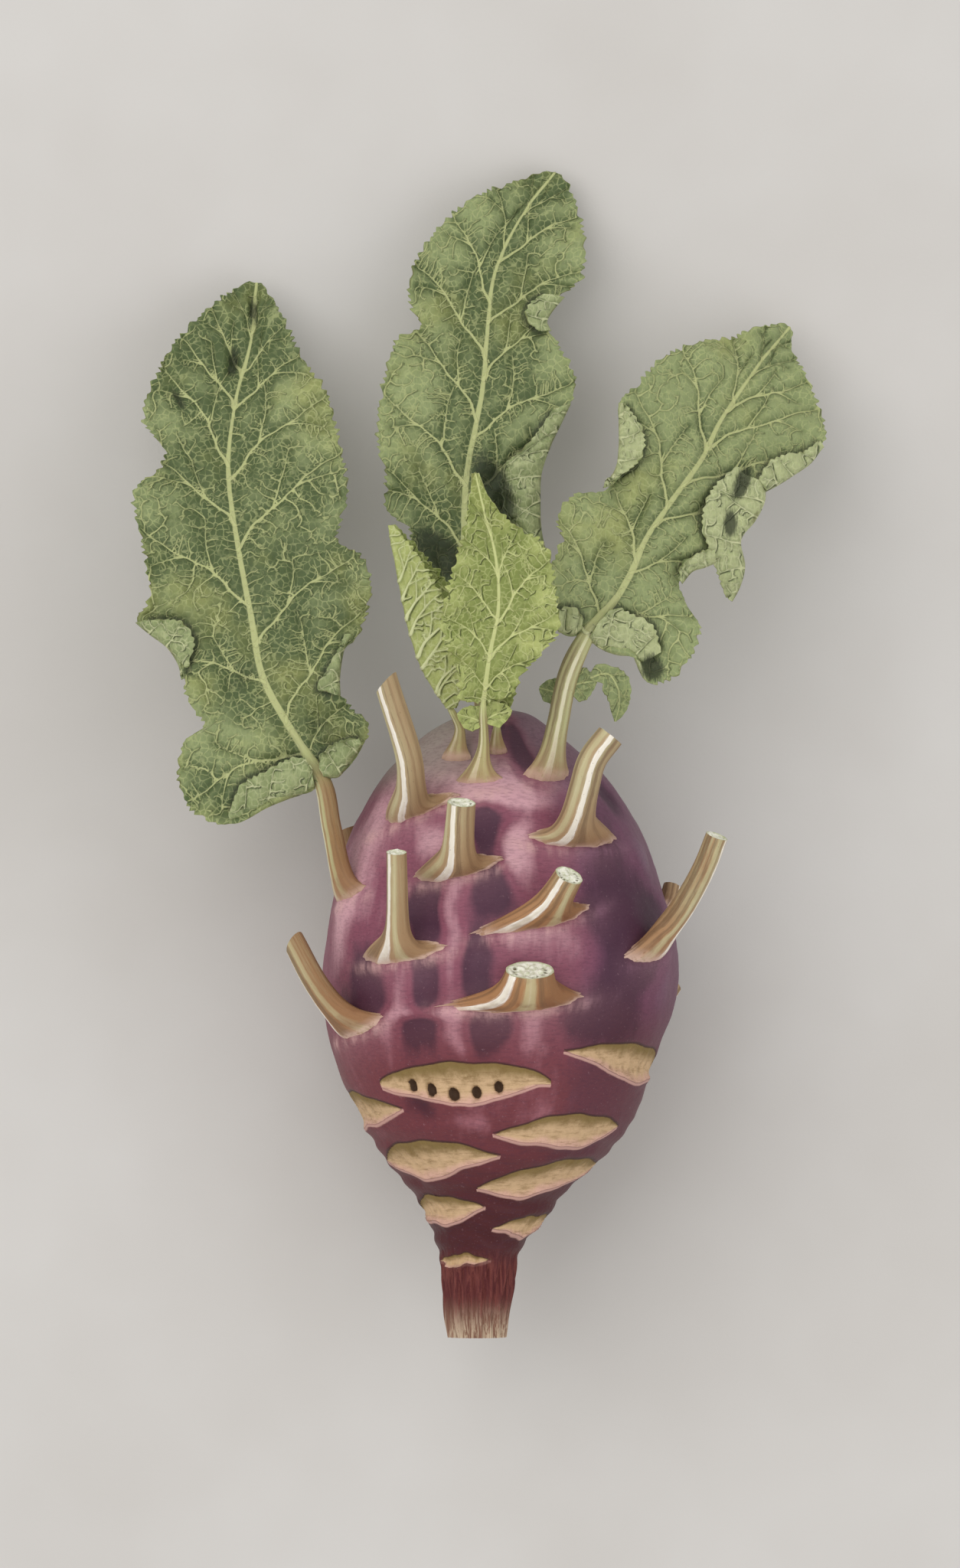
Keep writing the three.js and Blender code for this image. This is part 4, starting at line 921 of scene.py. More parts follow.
class Blade:
    """A leaf blade as a function of the share along it, the side, and the share across it: 0 at the midrib, 1 at
    the toothed band and 2 at the margin."""

    def __init__(self, leaf):
        self.leaf = leaf
        self.rib = Path(leaf["midrib"])
        self.margins = {-1: Path(leaf["left"]), 1: Path(leaf["right"])}
        self.leads = dict(zip((-1, 1), leaf["lead"]))
        self.slopes = dict(zip((-1, 1), leaf.get("slope", (0, 0))))
        bends = [Path(fold["outer"]).at(np.linspace(0, 1, 60))[:, :2] for fold in leaf.get("folds", [])]
        self.bends = np.vstack(bends) if bends else None

    def row(self, t, side):
        """What a cross line needs: its middle, direction and reach, and the place on the margin."""
        middle = self.rib.at(t + TIP_LEAD * smooth(t, 0.85, 1))
        edge = self.margins[side].at(t ** self.leads[side])
        out = edge - middle
        out[..., 2] = 0
        reach = np.maximum(np.linalg.norm(out, axis=-1), 1e-6)
        return middle, out / reach[..., None], reach, edge

    def tooth(self, t, side, edge):
        """Small pointed teeth of uneven size over the coarse ones. A folded margin has none at its bend."""
        phase = t * self.leaf["teeth"] / BLADE_END / 2
        coarse = 1 - 2 * np.abs(np.cos(math.pi * phase)) ** 1.5
        place = t ** self.leads[side] * self.margins[side].length
        beat = place / FINE_TOOTH + 0.3 * np.sin(place * 0.71 + side) + 0.2 * np.sin(place * 0.33)
        fine = saw(beat, 0.7, 0.3) ** 1.2 - 0.5
        size = 0.85 + 0.4 * np.sin(place * 0.47 + 2 * side)
        tooth = TOOTH / 2 * np.clip(0.35 * coarse + 2 * fine * size, -1.3, 1.3)
        if self.bends is None:
            return tooth
        gap = np.linalg.norm(edge[:, None, :2] - self.bends, axis=-1).min(1)
        return mix(-0.6, tooth, smooth(gap, 1, 2.5))

    def points(self, t, side, a):
        """Positions for a column of t and a row of a, and their distance from the midrib."""
        leaf = self.leaf
        middle, out, reach, edge = self.row(t, side)
        band = np.minimum(MARGIN_BAND, 0.45 * reach)
        wave = np.sin(2 * math.pi * leaf["waves"] * t + (1.9 if side > 0 else 0))
        ruffle = leaf["ruffle"] * wave * smooth(reach, 2, 12)
        teeth = self.tooth(t, side, edge) * smooth(reach, 1, 6)
        over = np.clip(a - 1, 0, 1)
        across = column(reach - band) * np.minimum(a, 1) + column(band) * over + column(teeth) * over**2
        p = column(middle) + column(out) * across[..., None]
        p[..., 2] += self.slopes[side] * across
        p[..., 2] += column(leaf["rise"] * reach + ruffle) * (across / column(reach)) ** 2
        return p, across

    def place(self, t, side, a):
        """One place on the blade, seen from above."""
        return self.points(np.array([t]), side, np.array([a]))[0][0, 0, :2]

    def heading(self, t):
        return unit(self.rib.tangent(np.array(t))[:2])


def fold_shade(leaf, place):
    """How dark the painted shadow is on the blade where a fold's free edge lies over it."""
    shade = np.zeros(place.shape[:-1])
    for fold in leaf.get("folds", []):
        edge = Path(fold["inner"]).at(np.linspace(0.04, 0.96, 40))[:, :2]
        gap = np.linalg.norm(place[..., None, :] - edge, axis=-1).min(-1)
        shade = np.maximum(shade, bell(gap / 1.9))
    return shade


def hollow_fields(leaf, place):
    """How deep the hollows are, and how dark the painted shade in them is, at places seen from above."""
    deep, dark = np.zeros(place.shape[:-1]), np.zeros(place.shape[:-1])
    for x, y, long, wide, turn, depth, shade in leaf.get("hollows", []):
        c, s = math.cos(math.radians(turn)), math.sin(math.radians(turn))
        dx, dy = place[..., 0] - x, place[..., 1] - y
        pit = np.exp(-(((dx * c + dy * s) / wide) ** 2) - ((dy * c - dx * s) / long) ** 2)
        deep, dark = deep + depth * pit, np.maximum(dark, shade * pit)
    return deep, dark


def puckers(p, veins, size, seed):
    """How far the blade bulges between its side veins, its small veins and its finest ones."""
    side, small, fine = (np.maximum(veins[key], 0) for key in ("side_gap", "small_gap", "gap"))
    puff = 0.8 * (1 - np.exp(-side / 4.5)) + 0.9 * (1 - np.exp(-small / 1.8)) + 0.35 * (1 - np.exp(-fine / 0.6))
    puff += 0.7 * value_noise(p, 13, seed + 1) + 0.12 * value_noise(p, 2.2, seed + 2)
    return size * (puff - 1)


def sheet(shape, leaf, p, puff, rib, veins, free, under, **fields):
    """A thin leaf surface's two faces and rim. free is 0 at its edge and 1 inside, under is 1 where its upper
    face is the leaf's underside."""
    rows, columns = p.shape[:2]
    p = p + grid_normals(p) * (puff * free)[..., None]
    normal = grid_normals(p)
    line = (1 - smooth(veins["gap"], -0.05, 0.2)) * np.minimum(veins["girth"] * 1.6, 1)
    thick = BLADE / 2 * mix(MARGIN_THIN, 1, free)
    top = p + normal * (thick + VEIN_RISE * line * free)[..., None]
    bottom = p - normal * (thick + rib + UNDER_VEIN_RISE * line * free)[..., None]
    fields |= {key: veins[key] for key in ("gap", "girth", "side_gap")}
    fields |= dict(vein_x=veins["offset"][..., 0], vein_y=veins["offset"][..., 1], margin=1 - free, puff=puff)
    fields |= dict(light=LEAF_LIGHT.get(leaf["name"], 0))
    fields = {key: np.broadcast_to(value, (rows, columns)) for key, value in fields.items()}
    shape.add(top, grid_faces(rows, columns), under=under, **fields)
    shape.add(bottom, grid_faces(rows, columns, flip=True), under=1 - under, **fields)
    index = np.arange(rows * columns).reshape(rows, columns)
    border = np.concatenate([index[0], index[1:, -1], index[-1, -2::-1], index[-2:0:-1, 0]])
    pair = np.stack([top.reshape(-1, 3)[border], bottom.reshape(-1, 3)[border]])
    fields = {key: value.ravel()[border] for key, value in fields.items()}
    shape.add(pair, grid_faces(2, len(border), wrap=True, flip=True), under=0.5, **fields)


def add_blade(shape, leaf, seed):
    """A blade with its veins, puckers and hollows."""
    blade = Blade(leaf)
    rows, half = BLADE_GRIDS.get(leaf["name"], BIG_GRID)
    t = np.linspace(0, BLADE_END, rows)
    a = np.concatenate([np.linspace(0, 1, half, endpoint=False), np.linspace(1, 2, max(half // 4, 6))])
    left, left_d = blade.points(t, -1, a[::-1])
    right, right_d = blade.points(t, 1, a[1:])
    p, d = np.concatenate([left, right], 1), np.concatenate([-left_d, right_d], 1)
    place = p[..., :2]
    rng = np.random.default_rng(seed)
    size = min(1, blade.margins[1].length / 110)
    starts = place[:: max(rows // 130, 1), len(a) - 1]
    veins = vein_fields(place, side_veins(leaf, blade, rng), seed, [starts], 1 if size == 1 else 1.25)
    rib_wide = leaf["rib"] * mix(1.45, 0.3, t**0.8)[:, None]
    from_rib = np.maximum(np.abs(d) - rib_wide / 2, 0)
    for key in ("side_gap", "small_gap"):
        veins[key] = np.minimum(veins[key], from_rib)
    deep, dark = hollow_fields(leaf, place)
    shade = fold_shade(leaf, place)
    puff = puckers(p, veins, size, seed) - deep - FOLD_DIP * shade
    ends = np.where(d < 0, np.abs(d[:, [0]]), np.abs(d[:, [-1]]))
    free = smooth(1 - np.abs(d) / np.maximum(ends, 1e-6), 0, 0.06)
    keel = leaf["rib"] * (1 - 0.75 * t[:, None]) * bell(d / (0.5 + 0.7 * rib_wide))
    puff = puff + 0.25 * leaf["rib"] * bell(d / (0.2 + 0.6 * rib_wide))
    # Painted shadow on the blade under each fold's free edge, joined to the hollows' painted shade.
    dark = np.maximum(dark, FOLD_DARK * shade)
    sheet(shape, leaf, p, puff, keel, veins, free, 0.0, across=d, rib_wide=rib_wide, hollow=dark)


def add_fold(shape, leaf, fold, seed):
    """A margin folded up over the blade: rows from its rounded bend to its free toothed edge."""
    bend, edge = Path(fold["outer"]), Path(fold["inner"])
    rows = min(max(int(max(bend.length, edge.length) / 0.4), 24), 90)
    t = np.linspace(0, 1, rows)
    start, end = bend.at(t), edge.at(t)
    reach = np.linalg.norm(end - start, axis=-1)[:, None]
    place = t * edge.length
    fine = saw(place / FINE_TOOTH + 0.3 * np.sin(place * 0.71), 0.6, 0.4) - 0.5
    tooth = (TOOTH * 0.6 * fine * smooth(np.sin(math.pi * t), 0, 0.2))[:, None]
    # a is -1 at the end of the roll under the bend, 0 at the bend and 1 at the free edge.
    a = np.concatenate([np.linspace(-1, 0, 4)[:-1], np.linspace(0, 1, 21) ** 1.25])
    share = np.maximum(a, 0)
    roll = np.where(a < 0, np.sqrt(np.clip(1 - a**2, 0, 1)), np.clip(1 - a * 5, 0, 1))
    over = share * (1 + tooth / np.maximum(reach, 1) * share**3)
    p = start[:, None] + (end - start)[:, None] * over[..., None]
    p = p + unit(start - end)[:, None] * (FOLD_BEND * roll)[:, None]
    rise = 3 * FOLD_ARCH * np.sqrt(share) * (1 - share) ** 1.5 + 0.9 * np.minimum(a, 0)
    p[..., 2] += rise + 0.35 * np.sin(place * 0.8)[:, None] * share
    if grid_normals(p)[..., 2].mean() < 0:
        p = p[::-1]
    flat = p[..., :2]
    rng = np.random.default_rng(seed)
    lines, count = [], max(int(bend.length / 6), 2)
    for k in range(count):
        i = int((k + rng.uniform(0.3, 0.7)) * rows / count)
        j = int(np.clip(i + rng.uniform(-0.15, 0.15) * rows, 0, rows - 1))
        line = wavy_line(flat[i, 3], flat[j, -3], unit(flat[i, 8] - flat[i, 3]), rng, 0.5)
        lines.append((line, np.linspace(0.42, 0.2, len(line))))
    veins = vein_fields(flat, lines, seed)
    # The folds carry the hollows' painted shade too.
    deep, dark = hollow_fields(leaf, flat)
    puff = 0.8 * puckers(p, veins, 1, seed) - deep
    free = smooth(1 - share, 0, 0.08) * smooth(share, 0.02, 0.2)
    sheet(shape, leaf, p, puff, 0, veins, free, 1.0, across=9.0, rib_wide=0.0, hollow=dark)


def leaflet(lobe):
    """A small lobe as a leaf whose margins bow out from its midrib."""
    curve = Path(lobe["midrib"])
    share = np.array([0, 0.15, 0.4, 0.7, 0.9, 1])
    p, along = curve.at(share), curve.tangent(share)
    bow = np.where(share < 1, 0.8, 0.2) + lobe["spread"] * np.sin(math.pi * share**0.8)
    left, right = (
        np.stack([p[:, 0] + side * along[:, 1] * bow, p[:, 1] - side * along[:, 0] * bow], -1) for side in (-1, 1)
    )
    return dict(LEAFLET, name="leaflet", midrib=lobe["midrib"], left=left, right=right, rise=lobe["rise"])


def build_leaf(leaf, material, number):
    shape = Mesh()
    rib = Path(leaf["midrib"])
    stalk_tube(shape, leaf["stalk"], [rib.at(np.array(k)) - (0, 0, 1) for k in (0.03, 0.1)])
    add_blade(shape, leaf, seed=100 * number)
    for k, lobe in enumerate(leaf.get("leaflets", []), 1):
        add_blade(shape, leaflet(lobe), seed=100 * number + k)
    for k, fold in enumerate(leaf.get("folds", []), 11):
        add_fold(shape, leaf, fold, seed=100 * number + k)
    shape.build(leaf["name"] + "_look", material, leaf["name"])


# ---- Materials ----

COLOUR, NUMBER = "NodeSocketColor", "NodeSocketFloat"


def screen_colour(red, green, blue):
    """A colour given as it shows on a screen, 0 to 255, in the light's own values."""
    parts = [c / 255 for c in (red, green, blue)]
    return (*[c / 12.92 if c <= 0.04045 else ((c + 0.055) / 1.055) ** 2.4 for c in parts], 1)


class Flow:
    """What a node gives. Sums, differences and products of flows make their own nodes."""

    def __init__(self, shader, socket):
        self.shader, self.socket = shader, socket

    def __add__(self, other):
        return self.shader.math("ADD", self, other)

    def __sub__(self, other):
        return self.shader.math("SUBTRACT", self, other)

    def __rsub__(self, other):
        return self.shader.math("SUBTRACT", other, self)

    def __mul__(self, other):
        return self.shader.math("MULTIPLY", self, other)

    def __abs__(self):
        return self.shader.math("ABSOLUTE", self)


class Shader:
    """Makes the nodes of one tree. Colours are given as they show on a screen, 0 to 255."""

    def __init__(self, tree):
        self.tree = tree

    def feed(self, node, inputs):
        for key, value in inputs.items():
            socket = node.inputs[key]
            if isinstance(value, Flow):
                self.tree.links.new(value.socket, socket)
            else:
                socket.default_value = screen_colour(*value) if socket.type == "RGBA" else value

    def node(self, kind, inputs=None, **settings):
        made = self.tree.nodes.new(kind)
        for key, value in settings.items():
            setattr(made, key, value)
        self.feed(made, inputs or {})
        return made

    def flow(self, kind, inputs=None, output=0, **settings):
        return Flow(self, self.node(kind, inputs, **settings).outputs[output])

    def read(self, name):
        """A value that the mesh carries at its vertices."""
        return self.flow("ShaderNodeAttribute", output="Fac", attribute_name=name)

    def position(self):
        return self.flow("ShaderNodeTexCoord", output="Object")

    def math(self, operation, a, b=0.0, clamp=False):
        return self.flow("ShaderNodeMath", {0: a, 1: b}, operation=operation, use_clamp=clamp)

    def vector_math(self, operation, *values, output=0):
        return self.flow("ShaderNodeVectorMath", dict(enumerate(values)), output, operation=operation)

    def vector(self, x, y):
        return self.flow("ShaderNodeCombineXYZ", {"X": x, "Y": y})

    def ramp(self, value, low, high, to_low=0.0, to_high=1.0):
        """A smooth step from to_low, where the value is low, to to_high, where it is high."""
        limits = {"Value": value, "From Min": low, "From Max": high, "To Min": to_low, "To Max": to_high}
        return self.flow("ShaderNodeMapRange", limits, "Result", interpolation_type="SMOOTHSTEP")

    def mix(self, share, a, b):
        return self.flow("ShaderNodeMix", {0: share, 6: a, 7: b}, 2, data_type="RGBA")

    def coats(self, ground, *coats):
        """The ground under coats of colour, each given after its mask."""
        for mask, colour in coats:
            ground = self.mix(mask, ground, colour)
        return ground

    def noise(self, place, scale, detail=4.0, roughness=0.6):
        inputs = {"Vector": place, "Scale": scale, "Detail": detail, "Roughness": roughness}
        return self.flow("ShaderNodeTexNoise", inputs, "Fac")

    def grain(self, place, scales, detail, roughness):
        """Noise drawn out along some axes, with a scale for each."""
        return self.noise(self.vector_math("MULTIPLY", place, scales), 1.0, detail, roughness)

    def sway(self, noise, strength):
        """A noise moved to lie evenly about zero, and scaled."""
        return (noise - 0.5) * strength

    def net(self, place, scale, narrow, wide):
        """Lines of a fine closed net with bent lines: 1 on a line and 0 between the lines."""
        bend = self.flow("ShaderNodeTexNoise", {"Vector": place, "Scale": scale * 0.8, "Detail": 2.0}, "Color")
        bent = self.vector_math("MULTIPLY_ADD", bend, (0.9 / scale,) * 3, place)
        cells = {"Vector": bent, "Scale": scale}
        gap = self.flow("ShaderNodeTexVoronoi", cells, "Distance", feature="DISTANCE_TO_EDGE")
        return self.ramp(gap, narrow, wide, 1.0, 0.0)

    def group(self, tree, inputs):
        made = self.node("ShaderNodeGroup", inputs, node_tree=tree)
        return {socket.name: Flow(self, socket) for socket in made.outputs}

    def bump(self, shader, height, distance, strength):
        inputs = {"Strength": strength, "Distance": distance * MM, "Height": height}
        self.feed(shader, {"Normal": self.flow("ShaderNodeBump", inputs, "Normal")})


def principled(name, finish):
    """A new material, its shader with the finish set on its own sockets, and what makes its other nodes."""
    material = bpy.data.materials.new(name)
    material.use_nodes = True
    shader, s = material.node_tree.nodes["Principled BSDF"], Shader(material.node_tree)
    s.feed(shader, finish)
    return material, shader, s


def group_tree(name, inputs, outputs):
    """A new node group, what makes its nodes, the flows that it is given, and the node for its results."""
    tree = bpy.data.node_groups.new(name, "ShaderNodeTree")
    for way, sockets in (("INPUT", inputs), ("OUTPUT", outputs)):
        for label, kind in sockets.items():
            tree.interface.new_socket(label, in_out=way, socket_type=kind)
    g = Shader(tree)
    given = {socket.name: Flow(g, socket) for socket in g.node("NodeGroupInput").outputs}
    return tree, g, given, g.node("NodeGroupOutput")


def stalk_group():
    """Ribbed stalk tissue: tan-brown, browner on its right side as painted shade, with a cream rib that also carries
    a painted highlight and a yellow-green rib, painted shade in the grooves and highlight on the rib tops, and pale
    cut ends with dark bundles.
    """
    colours = dict.fromkeys(("Ground", "Cream", "Moss"), COLOUR)
    tree, g, given, results = group_tree("stalk tissue", colours, dict(Color=COLOUR, Height=NUMBER))
    place, height, turn, warm = g.position(), g.read("height"), g.read("round"), g.read("warm")
    rib, side = g.read("rib"), g.read("side")
    along = g.vector(turn * 30.0, height * 0.09)
    streak, thread = g.noise(along, 1.0, 5, 0.65), g.noise(along, 3.2, 3, 0.6)
    brown = g.mix(warm, g.mix(0.5, given["Ground"], (140, 100, 60)), (138, 94, 58))
    tan = g.mix(warm, given["Ground"], (164, 118, 78))
    wedge = g.ramp(g.noise(g.vector(turn * 9.0, height * 0.16), 1.0, 2), 0.5, 0.62)
    wedge = wedge * (warm * g.ramp(height, 9.0, 1.0, 0.2, 1.0))
    colour = g.coats(
        # Painted shade: tan turning brown towards the stalk's right side.
        g.mix(g.ramp(side + g.sway(streak, 1.2), -0.3, 0.9, 0.0, 0.8), tan, brown),
        (g.ramp(height, 4.0, 22.0) * g.ramp(streak, 0.35, 0.65, 0.2, 0.8), (176, 166, 128)),
        (g.ramp(g.read("moss") + g.sway(thread, 0.7), 0.35, 0.8) * 0.7, given["Moss"]),
        # The cream rib: the stalk's own pale colour, and a painted highlight as well.
        (g.ramp(g.read("cream") + g.sway(thread, 0.9), 0.38, 0.72), given["Cream"]),
        (wedge * 0.75, (110, 66, 40)),
        # Painted shade in the grooves between the ribs, and painted highlight on the rib tops in the next coat.
        (g.ramp(rib + g.sway(thread, 0.5), -0.15, -0.5) * 0.6, (100, 76, 54)),
        (g.ramp(rib + g.sway(streak, 1.0), 0.15, 0.6) * 0.4, (216, 204, 176)),
        # More painted shade towards the stalk's right side.
        (g.ramp(side + g.sway(streak, 0.8), 0.1, 0.95, 0.0, 0.55), brown),
        (g.read("foot") * g.ramp(g.noise(place, 260.0, 3), 0.3, 0.65) * 0.5, (152, 108, 76)),
        (g.read("lip") * g.ramp(g.noise(place, 500.0, 3), 0.3, 0.5, 0.3, 1.0) * 0.85, (222, 188, 172)),
    )
    cut = g.coats(
        g.mix(g.ramp(g.noise(place, 900.0, 3), 0.35, 0.7), (236, 234, 220), (194, 196, 166)),
        (g.read("edge") * 0.6, (150, 156, 104)),
        (g.read("bundle"), (84, 74, 44)),
    )
    speck = g.ramp(g.noise(place, 1500.0, 2), 0.66, 0.76) * 0.4
    colour = g.coats(colour, (g.read("cut"), cut), (speck, (96, 72, 48)))
    g.feed(results, {"Color": colour, "Height": streak * 0.5 + thread * 0.5})
    return tree


def leaf_group():
    """Leaf blade: puckered green with pale branching veins and a paler underside. Painted light and shade: lighter on
    the bulges, darker in the dips, in the hollows and beside the veins, and a shadow in a crease on one side of each
    vein.
    """
    tree, g, given, results = group_tree(
        "leaf blade",
        dict.fromkeys(("Dark", "Light", "Vein", "Under", "CreaseShadow"), COLOUR) | {"CreaseShadowStrength": NUMBER},
        dict(Color=COLOUR, Height=NUMBER, Blade=NUMBER),
    )
    dark, light, vein = given["Dark"], given["Light"], given["Vein"]
    place, girth, gap, across = g.position(), g.read("girth"), g.read("gap"), g.read("across")
    vein_x, vein_y, puff, lightness = g.read("vein_x"), g.read("vein_y"), g.read("puff"), g.read("light")
    away = g.vector_math("LENGTH", g.vector(vein_x, vein_y), output="Value") - girth * 0.5
    near = g.ramp(gap, 0.35, 0.6, 1.0, 0.0)
    line = g.ramp(away, -0.06, 0.16, 1.0, 0.0) * near
    drawn = line * g.ramp(girth, 0.18, 0.5, 0.6, 1.0)
    rib = g.ramp(abs(across) - g.read("rib_wide") * 0.5, -0.12, 0.22, 1.0, 0.0)
    # The crease and its painted shadow lie on one side of each vein: where the way to the vein points up and to
    # the left.
    tilt = vein_y * 0.7 + vein_x * -0.7
    crease_shadow = g.ramp(abs(away - 0.2), 0.06, 0.24, 1.0, 0.0) * near * g.ramp(tilt, 0.0, 0.15)
    crease_shadow = crease_shadow * (g.ramp(g.noise(place, 260.0, 2), 0.4, 0.62) * (1.0 - rib))
    hatch = g.grain(place, (2600, 500, 900), 3, 0.7)
    net = g.net(place, 560.0, 0.02, 0.12) * g.ramp(g.noise(place, 300.0, 2), 0.35, 0.6, 0.1, 0.4)
    # Tone: lighter where the blade bulges and darker where it dips, as painted light and shade, varied by noise.
    tone = puff * 0.3 + g.noise(place, 55.0, 4) + g.sway(g.noise(place, 420.0, 3), 0.2)
    # Each leaf's own lightness, with painted shade along the midrib and painted light towards the margins.
    tone = tone + lightness + g.ramp(abs(across), 1.0, 20.0, -0.16, 0.14)
    upper_face = g.coats(
        g.mix(g.ramp(tone, 0.25, 0.85), dark, light),
        (g.ramp(hatch, 0.48, 0.7, 0.0, 0.24), dark),
        (g.ramp(g.noise(place, 38.0, 3), 0.5, 0.72, 0.0, 0.4), (166, 166, 96)),
        # Painted shade where the blade dips beside the side veins, then beside every vein.
        (g.ramp(g.read("side_gap"), 0.1, 2.0, 0.3, 0.0), dark),
        (g.ramp(gap, 0.0, 0.6, 1.0, 0.0) * 0.35, dark),
        (net, vein),
        (drawn * 0.9, vein),
        (rib * 0.88, vein),
        # The painted shadow in the crease beside each vein.
        (crease_shadow * given["CreaseShadowStrength"], given["CreaseShadow"]),
    )
    # The underside's tone also follows the bulges as painted light and shade.
    tone = g.noise(place, 200.0, 4) + puff * 0.25 + lightness
    pale_vein = g.mix(0.3, vein, (228, 230, 200))
    underside = g.coats(
        g.mix(g.ramp(tone, 0.3, 0.8), light, given["Under"]),
        (g.ramp(hatch, 0.48, 0.7, 0.0, 0.3), dark),
        # Painted shade beside the veins.
        (g.ramp(gap, 0.0, 0.9, 0.35, 0.0), dark),
        (net, pale_vein),
        (drawn, pale_vein),
        # The painted shadow beside each vein, on the underside too.
        (crease_shadow * 0.8, given["CreaseShadow"]),
    )
    brown = g.ramp(g.read("margin"), 0.7, 1.0) * g.ramp(g.noise(place, 220.0, 2), 0.45, 0.65)
    # Painted shade in the hollows and under the folds' free edges.
    pit = g.ramp(g.read("hollow") + g.sway(hatch, 0.7), 0.3, 0.8)
    colour = g.coats(
        upper_face,
        (g.read("under"), underside),
        (brown * 0.55, (90, 84, 46)),
        (pit * 0.86, (44, 50, 34)),
    )
    relief = line * 0.55 + rib * 0.4 + crease_shadow * -0.5
    height = relief + g.noise(place, 700.0, 3) * 0.4 + hatch * 0.35
    blade = g.math("SUBTRACT", 1.0, g.read("stalk"), clamp=True)
    g.feed(results, {"Color": colour, "Height": height, "Blade": blade})
    return tree


def leaf_material(name, blade, tissue, blade_colours, stalk_colours):
    finish = {
        "Roughness": 0.58,
        "Specular IOR Level": 0.22,
        "Subsurface Weight": 0.1,
        "Subsurface Radius": (0.0012, 0.002, 0.0005),
        "Subsurface Scale": 1.0,
    }
    material, shader, s = principled(name, finish)
    leaf, stalk = s.group(blade, blade_colours), s.group(tissue, stalk_colours)
    stalk_colour = s.coats(
        stalk["Color"],
        (s.ramp(s.read("height"), 14.0, 1.0, 0.0, 0.35), (160, 122, 96)),
        (s.read("fade"), blade_colours["Vein"]),
    )
    s.feed(shader, {"Base Color": s.mix(leaf["Blade"], stalk_colour, leaf["Color"])})
    heights = {0: leaf["Blade"], 2: stalk["Height"], 3: leaf["Height"]}
    s.bump(shader, s.flow("ShaderNodeMix", heights, data_type="FLOAT"), 0.35, 0.8)
    return material


def cut_stalk_material(tissue):
    material, shader, s = principled("cut stalk", {"Roughness": 0.55, "Specular IOR Level": 0.28})
    stalk = s.group(tissue, dict(Ground=(174, 150, 116), Cream=(246, 240, 230), Moss=(192, 184, 142)))
    s.feed(shader, {"Base Color": stalk["Color"]})
    s.bump(shader, stalk["Height"], 0.35, 0.8)
    return material


